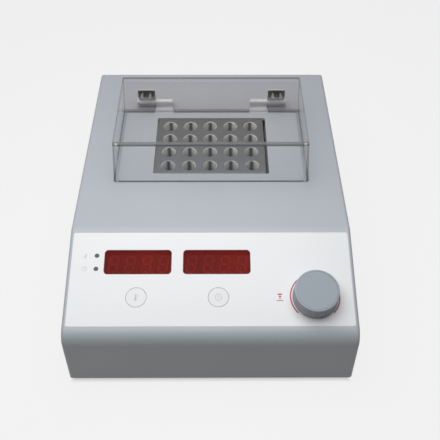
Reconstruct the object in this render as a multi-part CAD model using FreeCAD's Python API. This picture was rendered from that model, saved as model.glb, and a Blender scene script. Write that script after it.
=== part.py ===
"""A single-block dry bath incubator: a bench heater for sample tubes.

The housing is a moulded shell with a flat top and a sloping control panel that ends in a round nose.
An aluminium block with wells stands in a well in the flat top, under a clear hinged lid.
The panel has two red displays, two round keys, two status lights and a push-and-turn knob.
The rear has a mains inlet with a fuse drawer and a rocker switch.

Frame: X to the right, Y to the rear, Z up, with the origin on the table under the middle of the housing.
All lengths are millimetres and all angles are degrees.
"""
import FreeCAD
import Part
import math
import os
from FreeCAD import Placement, Rotation, Vector

# Housing shell
WIDTH = 210.0
DEPTH = 287.6
HEIGHT = 80.0
FOOT_HEIGHT = 5.0
WALL = 2.5
PANEL_DEPTH = 82.6
PANEL_SLOPE = 17.3
NOSE_RADIUS = 13.0
BEND_RADIUS = 12.0
REAR_RADIUS = 3.0
EDGE_RADIUS = 2.4
RIM_RADIUS = 1.0

# Running and seating clearances
SEAT_GAP = 0.3
RUN_GAP = 0.05
SCREW_GAP = 0.05

# Lengths below this count as nothing
TINY = 1e-6

# Heating block and its wells
BLOCK_WIDTH = 91.5
BLOCK_DEPTH = 71.5
BLOCK_HEIGHT = 33.0
BLOCK_SINK = 0.6
BLOCK_SHIFT = -1.0
BLOCK_Y = 37.5
BLOCK_EDGE_RADIUS = 1.0
BLOCK_EDGE_CHAMFER = 0.5
WELL_COLUMNS = 5
WELL_ROWS = 4
WELL_PITCH = 17.3
WELL_RADIUS = 5.6
WELL_RIM_CHAMFER = 0.6
WELL_STRAIGHT = 14.0
WELL_DEPTH = 29.0
WELL_TIP_RADIUS = 2.2

# Opening for the block and the heater stack under it
OPENING_SIDE_GAP = 1.5
OPENING_END_GAP = 1.25
OPENING_WIDTH = BLOCK_WIDTH + 2 * OPENING_SIDE_GAP
OPENING_DEPTH = BLOCK_DEPTH + 2 * OPENING_END_GAP
OPENING_RADIUS = 1.5
FRAME_WALL = 2.5
HEATER_PLATE = 9.0
HEATER_MAT = 1.6
INSULATION = 8.0
CLAMP_PLATE = 1.5
STANDOFF_RADIUS = 3.5
STACK_SCREW_RADIUS = 1.5
STACK_EAR = 9.0
STACK_SCREW_HEAD_RADIUS = 2.8
STACK_SCREW_HEAD = 1.6
STACK_NUT_FLAT = 5.5
STACK_NUT = 2.4
SCREW_SPARE = 1.1
CLAMP_WINDOW = 32.0
SENSOR_RADIUS = 2.0
SENSOR_LENGTH = 30.0
SENSOR_COLLAR_RADIUS = 3.0
SENSOR_COLLAR = 4.0
CUTOUT_RADIUS = 8.0
CUTOUT_HEIGHT = 5.0
CUTOUT_BLADE_LENGTH = 5.0
CUTOUT_BLADE_WIDTH = 4.0
MAT_TAB_LENGTH = 4.5
MAT_TAB_WIDTH = 18.0

# Clear lid
LID_WIDTH = 156.2
LID_DEPTH = 94.6
LID_Y = 37.9
LID_HEIGHT = 36.5
LID_DRAFT = 2.2
LID_WALL = 3.0
LID_CORNER_RADIUS = 1.5

# Lid hinges
HINGE_SPLIT_X = 49.7
HINGE_HALF = 15.2
HINGE_SETBACK = 5.8
HINGE_RISE = 5.6
BARREL_RADIUS = 2.9
HINGE_PIN_RADIUS = 1.5
LEAF_THICKNESS = 1.5
LEAF_HEIGHT = 18.8
LEAF_SCREW_RISE = 16.2
LEAF_SCREW_SPACING = 6.6
LEAF_SCREW_RADIUS = 1.4
LEAF_SCREW_HEAD_RADIUS = 2.4
LEAF_SCREW_HEAD = 1.6
LEAF_SCREW_COVER = 1.0
KNUCKLE_OVERHANG = 1.2
PAD_RISE = 11.6
FOOT_PLATE = 1.6
FOOT_REACH = 7.6
FOOT_STUD_RADIUS = 1.5
FOOT_STUD_SPACING = 8.0
FOOT_STUD_LENGTH = 6.5
FOOT_NUT_FLAT = 5.5
FOOT_NUT = 2.4
KNUCKLE_GAP = 0.3
NOTCH_CLEARANCE = 0.8

# Control panel, measured inward from the overlay's edges and down the slope from the bend
OVERLAY_SIDE_MARGIN = 2.7
OVERLAY_TOP = 3.4
OVERLAY_FOOT_MARGIN = 9.7
OVERLAY_THICKNESS = 0.5
OVERLAY_RADIUS = 1.5
DISPLAY_WIDTH = 49.4
DISPLAY_HEIGHT = 19.4
DISPLAY_RADIUS = 2.8
DISPLAY_DROP = 24.0
DISPLAY_INSET = 48.9
DISPLAY_PITCH = 57.8
FILTER_LIP = 1.6
FILTER_LIP_THICKNESS = 1.2
FILTER_RECESS = 0.3
LIGHT_INSET = 18.6
LIGHT_RADIUS = 1.75
LIGHT_DROP = 18.9
LIGHT_PITCH = 10.5
LIGHT_COLLAR = 0.8
LIGHT_COLLAR_THICKNESS = 1.0
LED_RADIUS = 1.5
LED_HEIGHT = 4.0
KEY_RADIUS = 7.3
KEY_GAP = 0.25
KEY_RIGHT_SHIFT = 1.2
KEY_TRAVEL = 0.5
KEY_FLANGE = 1.2
KEY_FLANGE_THICKNESS = 1.2
KEY_STEM_RADIUS = 2.5
KNOB_INSET = 27.5
CONTROL_RISE = 21.8

# Seven-segment digits
DIGITS = 4
DIGIT_PITCH = 12.3
DIGIT_HEIGHT = 14.0
DIGIT_WIDTH = 7.6
DIGIT_SLANT = 8.0
SEGMENT_WIDTH = 1.5
SEGMENT_GAP = 0.25
SEGMENT_THICKNESS = 0.8
POINT_RADIUS = 0.8
MODULE_WIDTH = 50.3
MODULE_DEPTH = 19.0
MODULE_HEIGHT = 8.0
MODULE_GAP = 0.5

# Control board
BOARD_SIDE_MARGIN = 15.0
BOARD_TOP = 13.0
BOARD_FOOT_MARGIN = 10.8
BOARD_THICKNESS = 1.6
BOARD_BOSS_RADIUS = 3.0
BOARD_SCREW_RADIUS = 1.2
BOARD_SCREW_LENGTH = 7.0
BOARD_SCREW_HEAD_RADIUS = 2.2
BOARD_SCREW_HEAD = 1.4
BOARD_INSET = 3.8
SWITCH_SIDE = 6.0
SWITCH_HEIGHT = 3.5
SWITCH_PLUNGER_RADIUS = 1.7
SWITCH_PLUNGER = 1.4
SWITCH_WELL = 1.8

# Encoder and knob
KNOB_RADIUS = 16.4
KNOB_TOP_RADIUS = 15.9
KNOB_HEIGHT = 13.0
KNOB_LIFT = 0.9
KNOB_EDGE_RADIUS = 1.2
KNOB_SHELL = 3.0
KNOB_ROOF = 1.5
KNOB_RIBS = 72
KNOB_RIB_DEPTH = 0.35
KNOB_PUSH = 0.5
CAP_RADIUS = 14.6
CAP_THICKNESS = 1.0
CAP_EDGE_RADIUS = 0.3
SHAFT_RADIUS = 3.0
SHAFT_FLAT = 1.5
BUSHING_RADIUS = 3.5
BUSHING_STAND = 4.5
ENCODER_SIDE = 12.4
ENCODER_HEIGHT = 6.5
ENCODER_FLOOR = 1.0
ENCODER_SHOULDER_RADIUS = 5.0
ENCODER_NUT_FLAT = 10.0
ENCODER_NUT_HEIGHT = 2.0
ENCODER_WASHER_RADIUS = 6.0
ENCODER_WASHER = 0.6
PLUNGER_RADIUS = 2.6
PLUNGER_HEIGHT = 1.0
KNOB_BOSS_RADIUS = 5.5
SET_SCREW_RADIUS = 1.5

# Chassis pan with its upturned rear wall
SHEET = 1.2
PAN_FLANGE = 10.0
REAR_UPRIGHT = 62.0
REAR_WINDOW_WIDTH = 150.0
REAR_WINDOW_HEIGHT = 48.0
REAR_WINDOW_BASE = 11.0
REAR_WINDOW_RADIUS = 3.0
FLOOR_SLOTS = 8
FLOOR_SLOT_WIDTH = 3.0
FLOOR_SLOT_LENGTH = 40.0
FLOOR_SLOT_PITCH = 8.0
REAR_SLOTS = 9
REAR_SLOT_WIDTH = 3.0
REAR_SLOT_LENGTH = 26.0
REAR_SLOT_PITCH = 7.0
REAR_SLOT_X = 38.0

# Feet, and the screws that hold feet, pan and shell together
FOOT_SIDE_INSET = 14.0
FOOT_FRONT_INSET = 15.0
FOOT_REAR_INSET = 17.0
FOOT_RADIUS = 9.5
FOOT_TAPER = 1.0
FOOT_SEAT = 2.4
POST_RADIUS = 4.5
POST_RIB = 2.0
CASE_SCREW_RADIUS = 2.0
CASE_SCREW_LENGTH = 16.0
CASE_SCREW_HEAD_RADIUS = 3.8
CASE_SCREW_HEAD = 2.0

# Mains inlet with fuse drawer
INLET_X = -48.0
INLET_Z = 38.0
INLET_FLANGE_WIDTH = 33.0
INLET_FLANGE_HEIGHT = 40.0
INLET_FLANGE = 2.0
INLET_BODY_WIDTH = 28.0
INLET_BODY_HEIGHT = 34.0
INLET_BODY_DEPTH = 22.0
SOCKET_WIDTH = 24.4
SOCKET_HEIGHT = 16.6
SOCKET_DEPTH = 17.0
SOCKET_CORNER = 5.0
SOCKET_RADIUS = 1.0
INLET_FLANGE_RADIUS = 2.0
INLET_BODY_RADIUS = 1.0
CATCH_LENGTH = 6.0
CATCH_WIDTH = 8.0
CATCH_REACH = 1.6
SOCKET_RISE = 6.5
BLADE_WIDTH = 2.0
BLADE_HEIGHT = 4.0
BLADE_LENGTH = 15.0
BLADE_SPREAD = 7.0
BLADE_OFFSET = 2.0
DRAWER_WIDTH = 23.0
DRAWER_HEIGHT = 8.4
DRAWER_DEPTH = 18.0
DRAWER_DROP = 10.4
DRAWER_NIB_RADIUS = 0.8
DRAWER_WALL = 1.1
DRAWER_FACE = 1.6
FUSE_RADIUS = 2.6
FUSE_GLASS_RADIUS = 2.4
FUSE_SPACING = 1.0
FUSE_LENGTH = 19.0
FUSE_CAP_LENGTH = 4.6

# Rocker switch
ROCKER_X = -8.0
ROCKER_Z = 38.0
ROCKER_FRAME_WIDTH = 15.0
ROCKER_FRAME_HEIGHT = 21.0
ROCKER_FRAME_WALL = 1.7
ROCKER_FRAME_DEPTH = 16.0
ROCKER_FRAME_RADIUS = 1.0
ROCKER_PIN_SEAT = 1.2
ROCKER_FLANGE = 1.2
ROCKER_LIP = 1.5
ROCKER_TILT = 7.0
ROCKER_PIN_RADIUS = 1.2
ROCKER_PIVOT_DEPTH = 3.0
ROCKER_RISE = 2.6
ROCKER_BELLY = 4.0
TAB_PITCH = 6.5
TERMINAL_LENGTH = 8.0
TERMINAL_WIDTH = 4.8
TERMINAL_THICKNESS = 0.8

# Power board in the front compartment
POWER_WIDTH = 150.0
POWER_DEPTH = 78.0
POWER_SETBACK = 79.0
POWER_STANDOFF = 6.0
POWER_THICKNESS = 1.6
CORE_X = -45.0
CORE_WIDTH = 34.0
CORE_DEPTH = 28.0
CORE_HEIGHT = 22.0
WINDING_WIDTH = 22.0
WINDING_DEPTH = 38.0
WINDING_RADIUS = 5.0
WINDING_INSET = 3.0
CAPACITOR_ROW = -22.0
CAPACITOR_EDGE = 1.0
CAPACITORS = [(-12.0, 6.3, 20.0), (4.0, 5.0, 16.0), (17.0, 5.0, 16.0)]
SINK_X = 46.0
SINK_ROW = 0.5
SINK_WIDTH = 25.4
SINK_SPINE = 3.0
SINK_FIN = 1.4
SINK_FINS = 7
SINK_FIN_LENGTH = 19.0
SINK_HEIGHT = 24.0
TRIAC_WIDTH = 10.0
TRIAC_HEIGHT = 15.0
TRIAC_THICKNESS = 4.5
TRIAC_LEG = 0.8
TRIAC_LEG_HEIGHT = 5.0
TRIAC_LEG_PITCH = 2.5
TERMINAL_ROW = 29.5
TERMINAL_WAYS = 7
TERMINAL_PITCH = 8.0
TERMINAL_DEPTH = 11.0
TERMINAL_HEIGHT = 13.0
TERMINAL_HOLE_RADIUS = 2.2
TERMINAL_HOLE_DEPTH = 5.0

# Values that follow from the sizes above
FRONT_Y = -DEPTH / 2
REAR_Y = DEPTH / 2
POWER_Y = FRONT_Y + POWER_SETBACK
BEND_Y = FRONT_Y + PANEL_DEPTH
SLOPE = math.radians(PANEL_SLOPE)
X_AXIS = Vector(1, 0, 0)
Y_AXIS = Vector(0, 1, 0)
Z_AXIS = Vector(0, 0, 1)
PANEL = Placement(Vector(0, BEND_Y, HEIGHT), Rotation(X_AXIS, PANEL_SLOPE))
OVERLAY_WIDTH = WIDTH - 2 * OVERLAY_SIDE_MARGIN
OVERLAY_BOTTOM = PANEL_DEPTH / math.cos(SLOPE) - OVERLAY_FOOT_MARGIN
OVERLAY_LENGTH = OVERLAY_BOTTOM - OVERLAY_TOP
DISPLAY_DOWN = OVERLAY_TOP + DISPLAY_DROP
DISPLAY_LEFT_X = DISPLAY_INSET - OVERLAY_WIDTH / 2
DISPLAY_RIGHT_X = DISPLAY_LEFT_X + DISPLAY_PITCH
LIGHT_X = LIGHT_INSET - OVERLAY_WIDTH / 2
LIGHT_UPPER_DOWN = OVERLAY_TOP + LIGHT_DROP
LIGHT_LOWER_DOWN = LIGHT_UPPER_DOWN + LIGHT_PITCH
KEY_LEFT_X = DISPLAY_LEFT_X
KEY_RIGHT_X = DISPLAY_RIGHT_X + KEY_RIGHT_SHIFT
KEY_DOWN = OVERLAY_BOTTOM - CONTROL_RISE
KNOB_X = OVERLAY_WIDTH / 2 - KNOB_INSET
KNOB_DOWN = KEY_DOWN
BOARD_WIDTH = WIDTH - 2 * BOARD_SIDE_MARGIN
BOARD_BOTTOM = OVERLAY_BOTTOM - BOARD_FOOT_MARGIN
FOOT_X = WIDTH / 2 - FOOT_SIDE_INSET
LID_BASE = HEIGHT + SEAT_GAP
LID_REAR = LID_Y + LID_DEPTH / 2
HINGE_Y = LID_REAR + HINGE_SETBACK
HINGE_Z = HEIGHT + HINGE_RISE
BLOCK_TOP = HEIGHT - BLOCK_SINK
BLOCK_BASE = BLOCK_TOP - BLOCK_HEIGHT
PLATE_TOP = BLOCK_BASE
PLATE_BASE = PLATE_TOP - HEATER_PLATE
MAT_BASE = PLATE_BASE - HEATER_MAT
INSULATION_BASE = MAT_BASE - INSULATION
CLAMP_BASE = INSULATION_BASE - CLAMP_PLATE
STACK_WIDTH = OPENING_WIDTH + 2 * FRAME_WALL
STACK_DEPTH = OPENING_DEPTH + 2 * FRAME_WALL
PAN_TOP = FOOT_HEIGHT + SHEET
MODULE_FACE = -WALL - FILTER_LIP_THICKNESS - MODULE_GAP
BOARD_FACE = MODULE_FACE - MODULE_HEIGHT
REAR_SHEET_Y = REAR_Y - WALL - SEAT_GAP
FOOT_POINTS = [(x, y) for x in (-FOOT_X, FOOT_X)
               for y in (FRONT_Y + FOOT_FRONT_INSET, REAR_Y - FOOT_REAR_INSET)]
WELL_POINTS = [(BLOCK_SHIFT + (i - (WELL_COLUMNS - 1) / 2) * WELL_PITCH,
                BLOCK_Y + (j - (WELL_ROWS - 1) / 2) * WELL_PITCH)
               for j in range(WELL_ROWS) for i in range(WELL_COLUMNS)]
STACK_POINTS = [(sx * (STACK_WIDTH + STACK_EAR) / 2, BLOCK_Y + sy * (STACK_DEPTH / 2 - STACK_EAR / 2))
                for sx in (-1, 1) for sy in (-1, 1)]
POWER_POINTS = [(sx * (POWER_WIDTH / 2 - BOARD_INSET), POWER_Y + sy * (POWER_DEPTH / 2 - BOARD_INSET))
                for sx in (-1, 1) for sy in (-1, 1)]
BOARD_POINTS = [(sx * (BOARD_WIDTH / 2 - BOARD_INSET), -down) for sx in (-1, 1)
                for down in (BOARD_TOP + BOARD_INSET, BOARD_BOTTOM - BOARD_INSET)]


def box(x0, x1, y0, y1, z0, z1):
    """A box between two corners."""
    return Part.makeBox(x1 - x0, y1 - y0, z1 - z0, Vector(x0, y0, z0))


def centred_box(x, y, width, depth, z0, z1):
    """A box centred on x, y."""
    return box(x - width / 2, x + width / 2, y - depth / 2, y + depth / 2, z0, z1)


def cylinder(x, y, radius, z0, z1):
    """An upright cylinder."""
    return Part.makeCylinder(radius, z1 - z0, Vector(x, y, z0), Z_AXIS)


def rod_x(x0, x1, y, z, radius):
    """A round bar along X."""
    return Part.makeCylinder(radius, x1 - x0, Vector(x0, y, z), X_AXIS)


def rod_y(x, y0, y1, z, radius):
    """A round bar along Y."""
    return Part.makeCylinder(radius, y1 - y0, Vector(x, y0, z), Y_AXIS)


def rounded_wire(points, radii):
    """A closed wire through points, each corner rounded to its radius by a tangent arc."""
    edges = []
    count = len(points)
    ends = []
    for i, (point, radius) in enumerate(zip(points, radii)):
        before = (points[i - 1] - point).normalize()
        after = (points[(i + 1) % count] - point).normalize()
        if radius <= 0:
            ends.append((point, None, point))
            continue
        half = before.getAngle(after) / 2
        reach = radius / math.tan(half)
        middle = (before + after).normalize() * (radius / math.sin(half) - radius)
        ends.append((point + before * reach, point + middle, point + after * reach))
    for i, (start, middle, end) in enumerate(ends):
        if middle is not None:
            edges.append(Part.Arc(start, middle, end).toShape())
        following = ends[(i + 1) % count][0]
        if end.distanceToPoint(following) > TINY:
            edges.append(Part.makeLine(end, following))
    return Part.Wire(edges)


def rounded_plate(x, y, width, depth, radius, z0, z1):
    """A flat plate with rounded corners, centred on x, y."""
    corners = [Vector(x + sx * width / 2, y + sy * depth / 2, z0)
               for sx, sy in ((-1, -1), (1, -1), (1, 1), (-1, 1))]
    face = Part.Face(rounded_wire(corners, [radius] * 4))
    return face.extrude(Vector(0, 0, z1 - z0))


def rounded_wall_hole(x, z, width, height, radius, y0, y1):
    """A rounded cutter or plate standing in the XZ plane, from y0 to y1."""
    corners = [Vector(x + sx * width / 2, y0, z + sz * height / 2)
               for sx, sz in ((-1, -1), (1, -1), (1, 1), (-1, 1))]
    face = Part.Face(rounded_wire(corners, [radius] * 4))
    return face.extrude(Vector(0, y1 - y0, 0))


def revolve(points, x, y, radii=None):
    """A solid turned about the upright line at x, y from (radius, height) points, rounded by radii."""
    corners = [Vector(x + r, y, z) for r, z in points]
    face = Part.Face(rounded_wire(corners, radii or [0] * len(corners)))
    return face.revolve(Vector(x, y, 0), Z_AXIS, 360)


def hexagon(x, y, flat, z0, z1):
    """A hexagon nut blank, flat to flat."""
    radius = flat / math.sqrt(3)
    corners = [Vector(x + radius * math.cos(math.radians(60 * i)),
                      y + radius * math.sin(math.radians(60 * i)), z0) for i in range(7)]
    return Part.Face(Part.makePolygon(corners)).extrude(Vector(0, 0, z1 - z0))


def along_y(shape, x, y, z):
    """Turns a shape that points up from the origin so that it points to the rear from x, y, z."""
    placed = shape.copy()
    placed.Placement = Placement(Vector(x, y, z), Rotation(X_AXIS, -90))
    return placed


def on_panel(shape):
    """Moves a shape from panel coordinates (across, up the slope, outward) to its place."""
    placed = shape.copy()
    placed.Placement = PANEL.multiply(placed.Placement)
    return placed


def join(shapes):
    """One solid from overlapping or touching shapes."""
    first, rest = shapes[0], shapes[1:]
    return (first.fuse(rest) if rest else first).removeSplitter()


def group(shapes):
    """Separate solids kept together in one sub-part."""
    return Part.makeCompound(shapes)


# Housing profile, as (y, z) corners from the rear rim round to the front rim
def profile_corners(inset, rim):
    """Corners of the side profile, moved inward by inset, with its open rim at height rim."""
    top = HEIGHT - inset
    front = FRONT_Y + inset
    rear = REAR_Y - inset
    bend_y = BEND_Y + inset * math.tan(SLOPE / 2)
    front_z = top - (bend_y - front) * math.tan(SLOPE)
    return [(rear, rim), (rear, top), (bend_y, top), (front, front_z), (front, rim)]


def profile_solid(inset, rim, half_width):
    """The side profile pulled across the width."""
    radii = [0, max(REAR_RADIUS - inset, 0), BEND_RADIUS - inset, NOSE_RADIUS - inset, 0]
    corners = [Vector(-half_width, y, z) for y, z in profile_corners(inset, rim)]
    return Part.Face(rounded_wire(corners, radii)).extrude(Vector(2 * half_width, 0, 0))


def shell_body():
    """The outer form of the housing with its long edges and upright corners rounded."""
    solid = profile_solid(0, FOOT_HEIGHT, WIDTH / 2)
    side = [edge for edge in solid.Edges
            if edge.BoundBox.XLength < TINY and edge.BoundBox.ZMax > FOOT_HEIGHT + TINY]
    solid = solid.makeFillet(EDGE_RADIUS, side)
    rim = [edge for edge in solid.Edges if edge.BoundBox.ZMax < FOOT_HEIGHT + TINY]
    return solid.makeFillet(RIM_RADIUS, rim)


def panel_hole(x, down, radius):
    """A round cutter square to the panel, through the wall."""
    return cylinder(x, -down, radius, -2 * WALL, WALL)


def top_housing():
    """The moulded shell, with the opening for the block, the panel cut-outs, posts and bosses."""
    shell = shell_body()
    inside = profile_solid(WALL, FOOT_HEIGHT - WALL, WIDTH / 2 - WALL)
    posts = [cylinder(x, y, POST_RADIUS, PAN_TOP, HEIGHT) for x, y in FOOT_POINTS]
    bosses = [on_panel(cylinder(x, y, BOARD_BOSS_RADIUS, BOARD_FACE, -WALL / 2))
              for x, y in BOARD_POINTS]
    ribs = [box(min(x, math.copysign(WIDTH / 2, x)), max(x, math.copysign(WIDTH / 2, x)),
                y - POST_RIB / 2, y + POST_RIB / 2, PAN_TOP + PAN_FLANGE, HEIGHT) for x, y in FOOT_POINTS]
    kept = [piece.common(shell) for piece in posts + ribs] + bosses
    hollow = shell.cut(inside).fuse(kept)
    cutters = [rounded_plate(0, BLOCK_Y, OPENING_WIDTH, OPENING_DEPTH, OPENING_RADIUS,
                             HEIGHT - 2 * WALL, HEIGHT + WALL)]
    overlay_middle = -(OVERLAY_TOP + OVERLAY_LENGTH / 2)
    cutters.append(on_panel(rounded_plate(0, overlay_middle, OVERLAY_WIDTH, OVERLAY_LENGTH,
                                          OVERLAY_RADIUS, -OVERLAY_THICKNESS, WALL)))
    for x in (DISPLAY_LEFT_X, DISPLAY_RIGHT_X):
        cutters.append(on_panel(rounded_plate(x, -DISPLAY_DOWN, DISPLAY_WIDTH, DISPLAY_HEIGHT,
                                              DISPLAY_RADIUS, -2 * WALL, WALL)))
    for x in (KEY_LEFT_X, KEY_RIGHT_X):
        cutters.append(on_panel(panel_hole(x, KEY_DOWN, KEY_RADIUS + KEY_GAP)))
    for down in (LIGHT_UPPER_DOWN, LIGHT_LOWER_DOWN):
        cutters.append(on_panel(panel_hole(LIGHT_X, down, LIGHT_RADIUS)))
    cutters.append(on_panel(panel_hole(KNOB_X, KNOB_DOWN, BUSHING_RADIUS + SCREW_GAP)))
    for x, y in foot_stud_points():
        cutters.append(cylinder(x, y, FOOT_STUD_RADIUS + SCREW_GAP, HEIGHT - 2 * WALL, HEIGHT + WALL))
    for x, y in FOOT_POINTS:
        cutters.append(cylinder(x, y, CASE_SCREW_RADIUS + SCREW_GAP, 0,
                                FOOT_HEIGHT + CASE_SCREW_LENGTH))
    for x, y in BOARD_POINTS:
        cutters.append(on_panel(cylinder(x, y, BOARD_SCREW_RADIUS + SCREW_GAP,
                                         BOARD_FACE - WALL, -2 * WALL)))
    cutters.append(rounded_wall_hole(0, REAR_WINDOW_BASE + REAR_WINDOW_HEIGHT / 2, REAR_WINDOW_WIDTH,
                                     REAR_WINDOW_HEIGHT, REAR_WINDOW_RADIUS, REAR_Y - 2 * WALL,
                                     REAR_Y + WALL))
    return hollow.cut(cutters).removeSplitter()


# Chassis pan
def chassis_pan():
    """The folded steel pan: floor, low flanges at the front and sides, and the rear upright."""
    gap = WALL + SEAT_GAP
    half = WIDTH / 2 - gap
    front = FRONT_Y + gap
    tray = box(-half, half, front, REAR_SHEET_Y, FOOT_HEIGHT, FOOT_HEIGHT + REAR_UPRIGHT)
    tray = tray.cut(box(-half + SHEET, half - SHEET, front + SHEET, REAR_SHEET_Y - SHEET,
                        PAN_TOP, HEIGHT))
    tray = tray.cut(box(-half - SHEET, half + SHEET, front - SHEET, REAR_SHEET_Y - SHEET,
                        FOOT_HEIGHT + PAN_FLANGE, HEIGHT))
    cutters = [cylinder(x, y, CASE_SCREW_RADIUS + SCREW_GAP, 0, HEIGHT / 2) for x, y in FOOT_POINTS]
    for x, y in STACK_POINTS + POWER_POINTS:
        cutters.append(cylinder(x, y, STACK_SCREW_RADIUS + SCREW_GAP, 0, PAN_TOP + SHEET))
    for y in (POWER_Y, BLOCK_Y):
        for i in range(FLOOR_SLOTS):
            x = (i - (FLOOR_SLOTS - 1) / 2) * FLOOR_SLOT_PITCH
            cutters.append(rounded_plate(x, y, FLOOR_SLOT_WIDTH, FLOOR_SLOT_LENGTH,
                                         FLOOR_SLOT_WIDTH / 2, 0, PAN_TOP + SHEET))
    middle = REAR_WINDOW_BASE + REAR_WINDOW_HEIGHT / 2
    y0, y1 = REAR_SHEET_Y - 2 * SHEET, REAR_SHEET_Y + SHEET
    for i in range(REAR_SLOTS):
        x = REAR_SLOT_X + (i - (REAR_SLOTS - 1) / 2) * REAR_SLOT_PITCH
        cutters.append(rounded_wall_hole(x, middle, REAR_SLOT_WIDTH, REAR_SLOT_LENGTH,
                                         REAR_SLOT_WIDTH / 2, y0, y1))
    cutters.append(rounded_wall_hole(INLET_X, INLET_Z, INLET_BODY_WIDTH + 2 * SCREW_GAP,
                                     INLET_BODY_HEIGHT + 2 * SCREW_GAP, INLET_BODY_RADIUS, y0, y1))
    cutters.append(rounded_wall_hole(ROCKER_X, ROCKER_Z, ROCKER_FRAME_WIDTH + 2 * SCREW_GAP,
                                     ROCKER_FRAME_HEIGHT + 2 * SCREW_GAP, ROCKER_FRAME_RADIUS, y0, y1))
    return tray.cut(cutters)


def rubber_feet():
    """Four tapered feet, each bored for its screw."""
    feet = []
    for x, y in FOOT_POINTS:
        hole = CASE_SCREW_RADIUS + SCREW_GAP
        head = CASE_SCREW_HEAD_RADIUS + SEAT_GAP
        seat = FOOT_HEIGHT - FOOT_SEAT
        feet.append(revolve([(head, 0), (FOOT_RADIUS - FOOT_TAPER, 0), (FOOT_RADIUS, FOOT_HEIGHT),
                             (hole, FOOT_HEIGHT), (hole, seat), (head, seat)], x, y))
    return group(feet)


def pan_screw(x, y, seat, length, radius, head_radius, head):
    """A pan-head screw that points up, with its head below seat."""
    slot = head * 0.5
    body = revolve([(0, seat - head), (head_radius * 0.8, seat - head), (head_radius, seat - head * 0.5),
                    (head_radius, seat), (radius, seat), (radius, seat + length),
                    (0, seat + length)], x, y)
    cross = [centred_box(x, y, head_radius, radius * 0.4, seat - head * 1.1, seat - head + slot),
             centred_box(x, y, radius * 0.4, head_radius, seat - head * 1.1, seat - head + slot)]
    return body.cut(cross)


def case_screws():
    """Four screws up through the feet and the pan into the shell's posts."""
    seat = FOOT_HEIGHT - FOOT_SEAT
    return group([pan_screw(x, y, seat, CASE_SCREW_LENGTH, CASE_SCREW_RADIUS,
                            CASE_SCREW_HEAD_RADIUS, CASE_SCREW_HEAD) for x, y in FOOT_POINTS])


# Heating block and the stack that carries it
def well_cutter(x, y):
    """A tube well: chamfered rim, straight neck, cone and flat tip."""
    top = BLOCK_TOP
    over = 1.0
    rim = WELL_RADIUS + WELL_RIM_CHAMFER
    return revolve([(0, top + over), (rim + over, top + over), (rim + over, top + over / 2), (rim, top),
                    (WELL_RADIUS, top - WELL_RIM_CHAMFER), (WELL_RADIUS, top - WELL_STRAIGHT),
                    (WELL_TIP_RADIUS, top - WELL_DEPTH), (0, top - WELL_DEPTH)], x, y)


def heating_block():
    """The aluminium block, with its grid of wells."""
    block = rounded_plate(BLOCK_SHIFT, BLOCK_Y, BLOCK_WIDTH, BLOCK_DEPTH, BLOCK_EDGE_RADIUS,
                          BLOCK_BASE, BLOCK_TOP)
    top_edges = [edge for edge in block.Edges
                 if abs(edge.BoundBox.ZMin - BLOCK_TOP) < TINY and edge.BoundBox.ZLength < TINY]
    block = block.makeChamfer(BLOCK_EDGE_CHAMFER, top_edges)
    return block.cut([well_cutter(x, y) for x, y in WELL_POINTS])


def well_frame():
    """The dark collar that lines the opening, from the shell's roof down to the heater plate."""
    outer = rounded_plate(0, BLOCK_Y, STACK_WIDTH, STACK_DEPTH, OPENING_RADIUS + FRAME_WALL,
                          PLATE_TOP, HEIGHT - WALL)
    inner = rounded_plate(0, BLOCK_Y, OPENING_WIDTH, OPENING_DEPTH, OPENING_RADIUS,
                          PLATE_TOP - WALL, HEIGHT)
    return outer.cut(inner)


def heater_plate():
    """The aluminium plate under the block, with a bore for the temperature sensor."""
    plate = rounded_plate(0, BLOCK_Y, STACK_WIDTH, STACK_DEPTH, OPENING_RADIUS + FRAME_WALL,
                          PLATE_BASE, PLATE_TOP)
    middle = (PLATE_TOP + PLATE_BASE) / 2
    start = STACK_WIDTH / 2 - SENSOR_LENGTH
    bore = rod_x(start, STACK_WIDTH, BLOCK_Y, middle, SENSOR_RADIUS + RUN_GAP)
    return plate.cut(bore)


def temperature_sensor():
    """A probe in the plate's side bore, with its collar outside."""
    middle = (PLATE_TOP + PLATE_BASE) / 2
    edge = STACK_WIDTH / 2
    probe = rod_x(edge - SENSOR_LENGTH, edge, BLOCK_Y, middle, SENSOR_RADIUS)
    collar = rod_x(edge, edge + SENSOR_COLLAR, BLOCK_Y, middle, SENSOR_COLLAR_RADIUS)
    return join([probe, collar])


def heater_mat():
    """The silicone heating mat, with the tab that takes its leads."""
    mat = rounded_plate(0, BLOCK_Y, BLOCK_WIDTH, BLOCK_DEPTH, OPENING_RADIUS, MAT_BASE, PLATE_BASE)
    tab = centred_box(-(BLOCK_WIDTH + MAT_TAB_LENGTH) / 2, BLOCK_Y, MAT_TAB_LENGTH, MAT_TAB_WIDTH,
                      MAT_BASE, PLATE_BASE)
    return join([mat, tab])


def insulation_pad():
    """The glass-fibre pad, cleared in the middle for the thermal cut-out."""
    pad = rounded_plate(0, BLOCK_Y, STACK_WIDTH, STACK_DEPTH, OPENING_RADIUS + FRAME_WALL,
                        INSULATION_BASE, MAT_BASE)
    return pad.cut(cylinder(0, BLOCK_Y, CUTOUT_RADIUS + SEAT_GAP, INSULATION_BASE - WALL, HEIGHT))


def thermal_cutout():
    """The disc thermostat against the mat, with two blade terminals."""
    disc = cylinder(0, BLOCK_Y, CUTOUT_RADIUS, MAT_BASE - CUTOUT_HEIGHT, MAT_BASE)
    base = MAT_BASE - CUTOUT_HEIGHT
    blades = [centred_box(sx * CUTOUT_RADIUS / 2, BLOCK_Y, TERMINAL_THICKNESS, CUTOUT_BLADE_WIDTH,
                          base - CUTOUT_BLADE_LENGTH, base) for sx in (-1, 1)]
    return join([disc] + blades)


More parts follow.
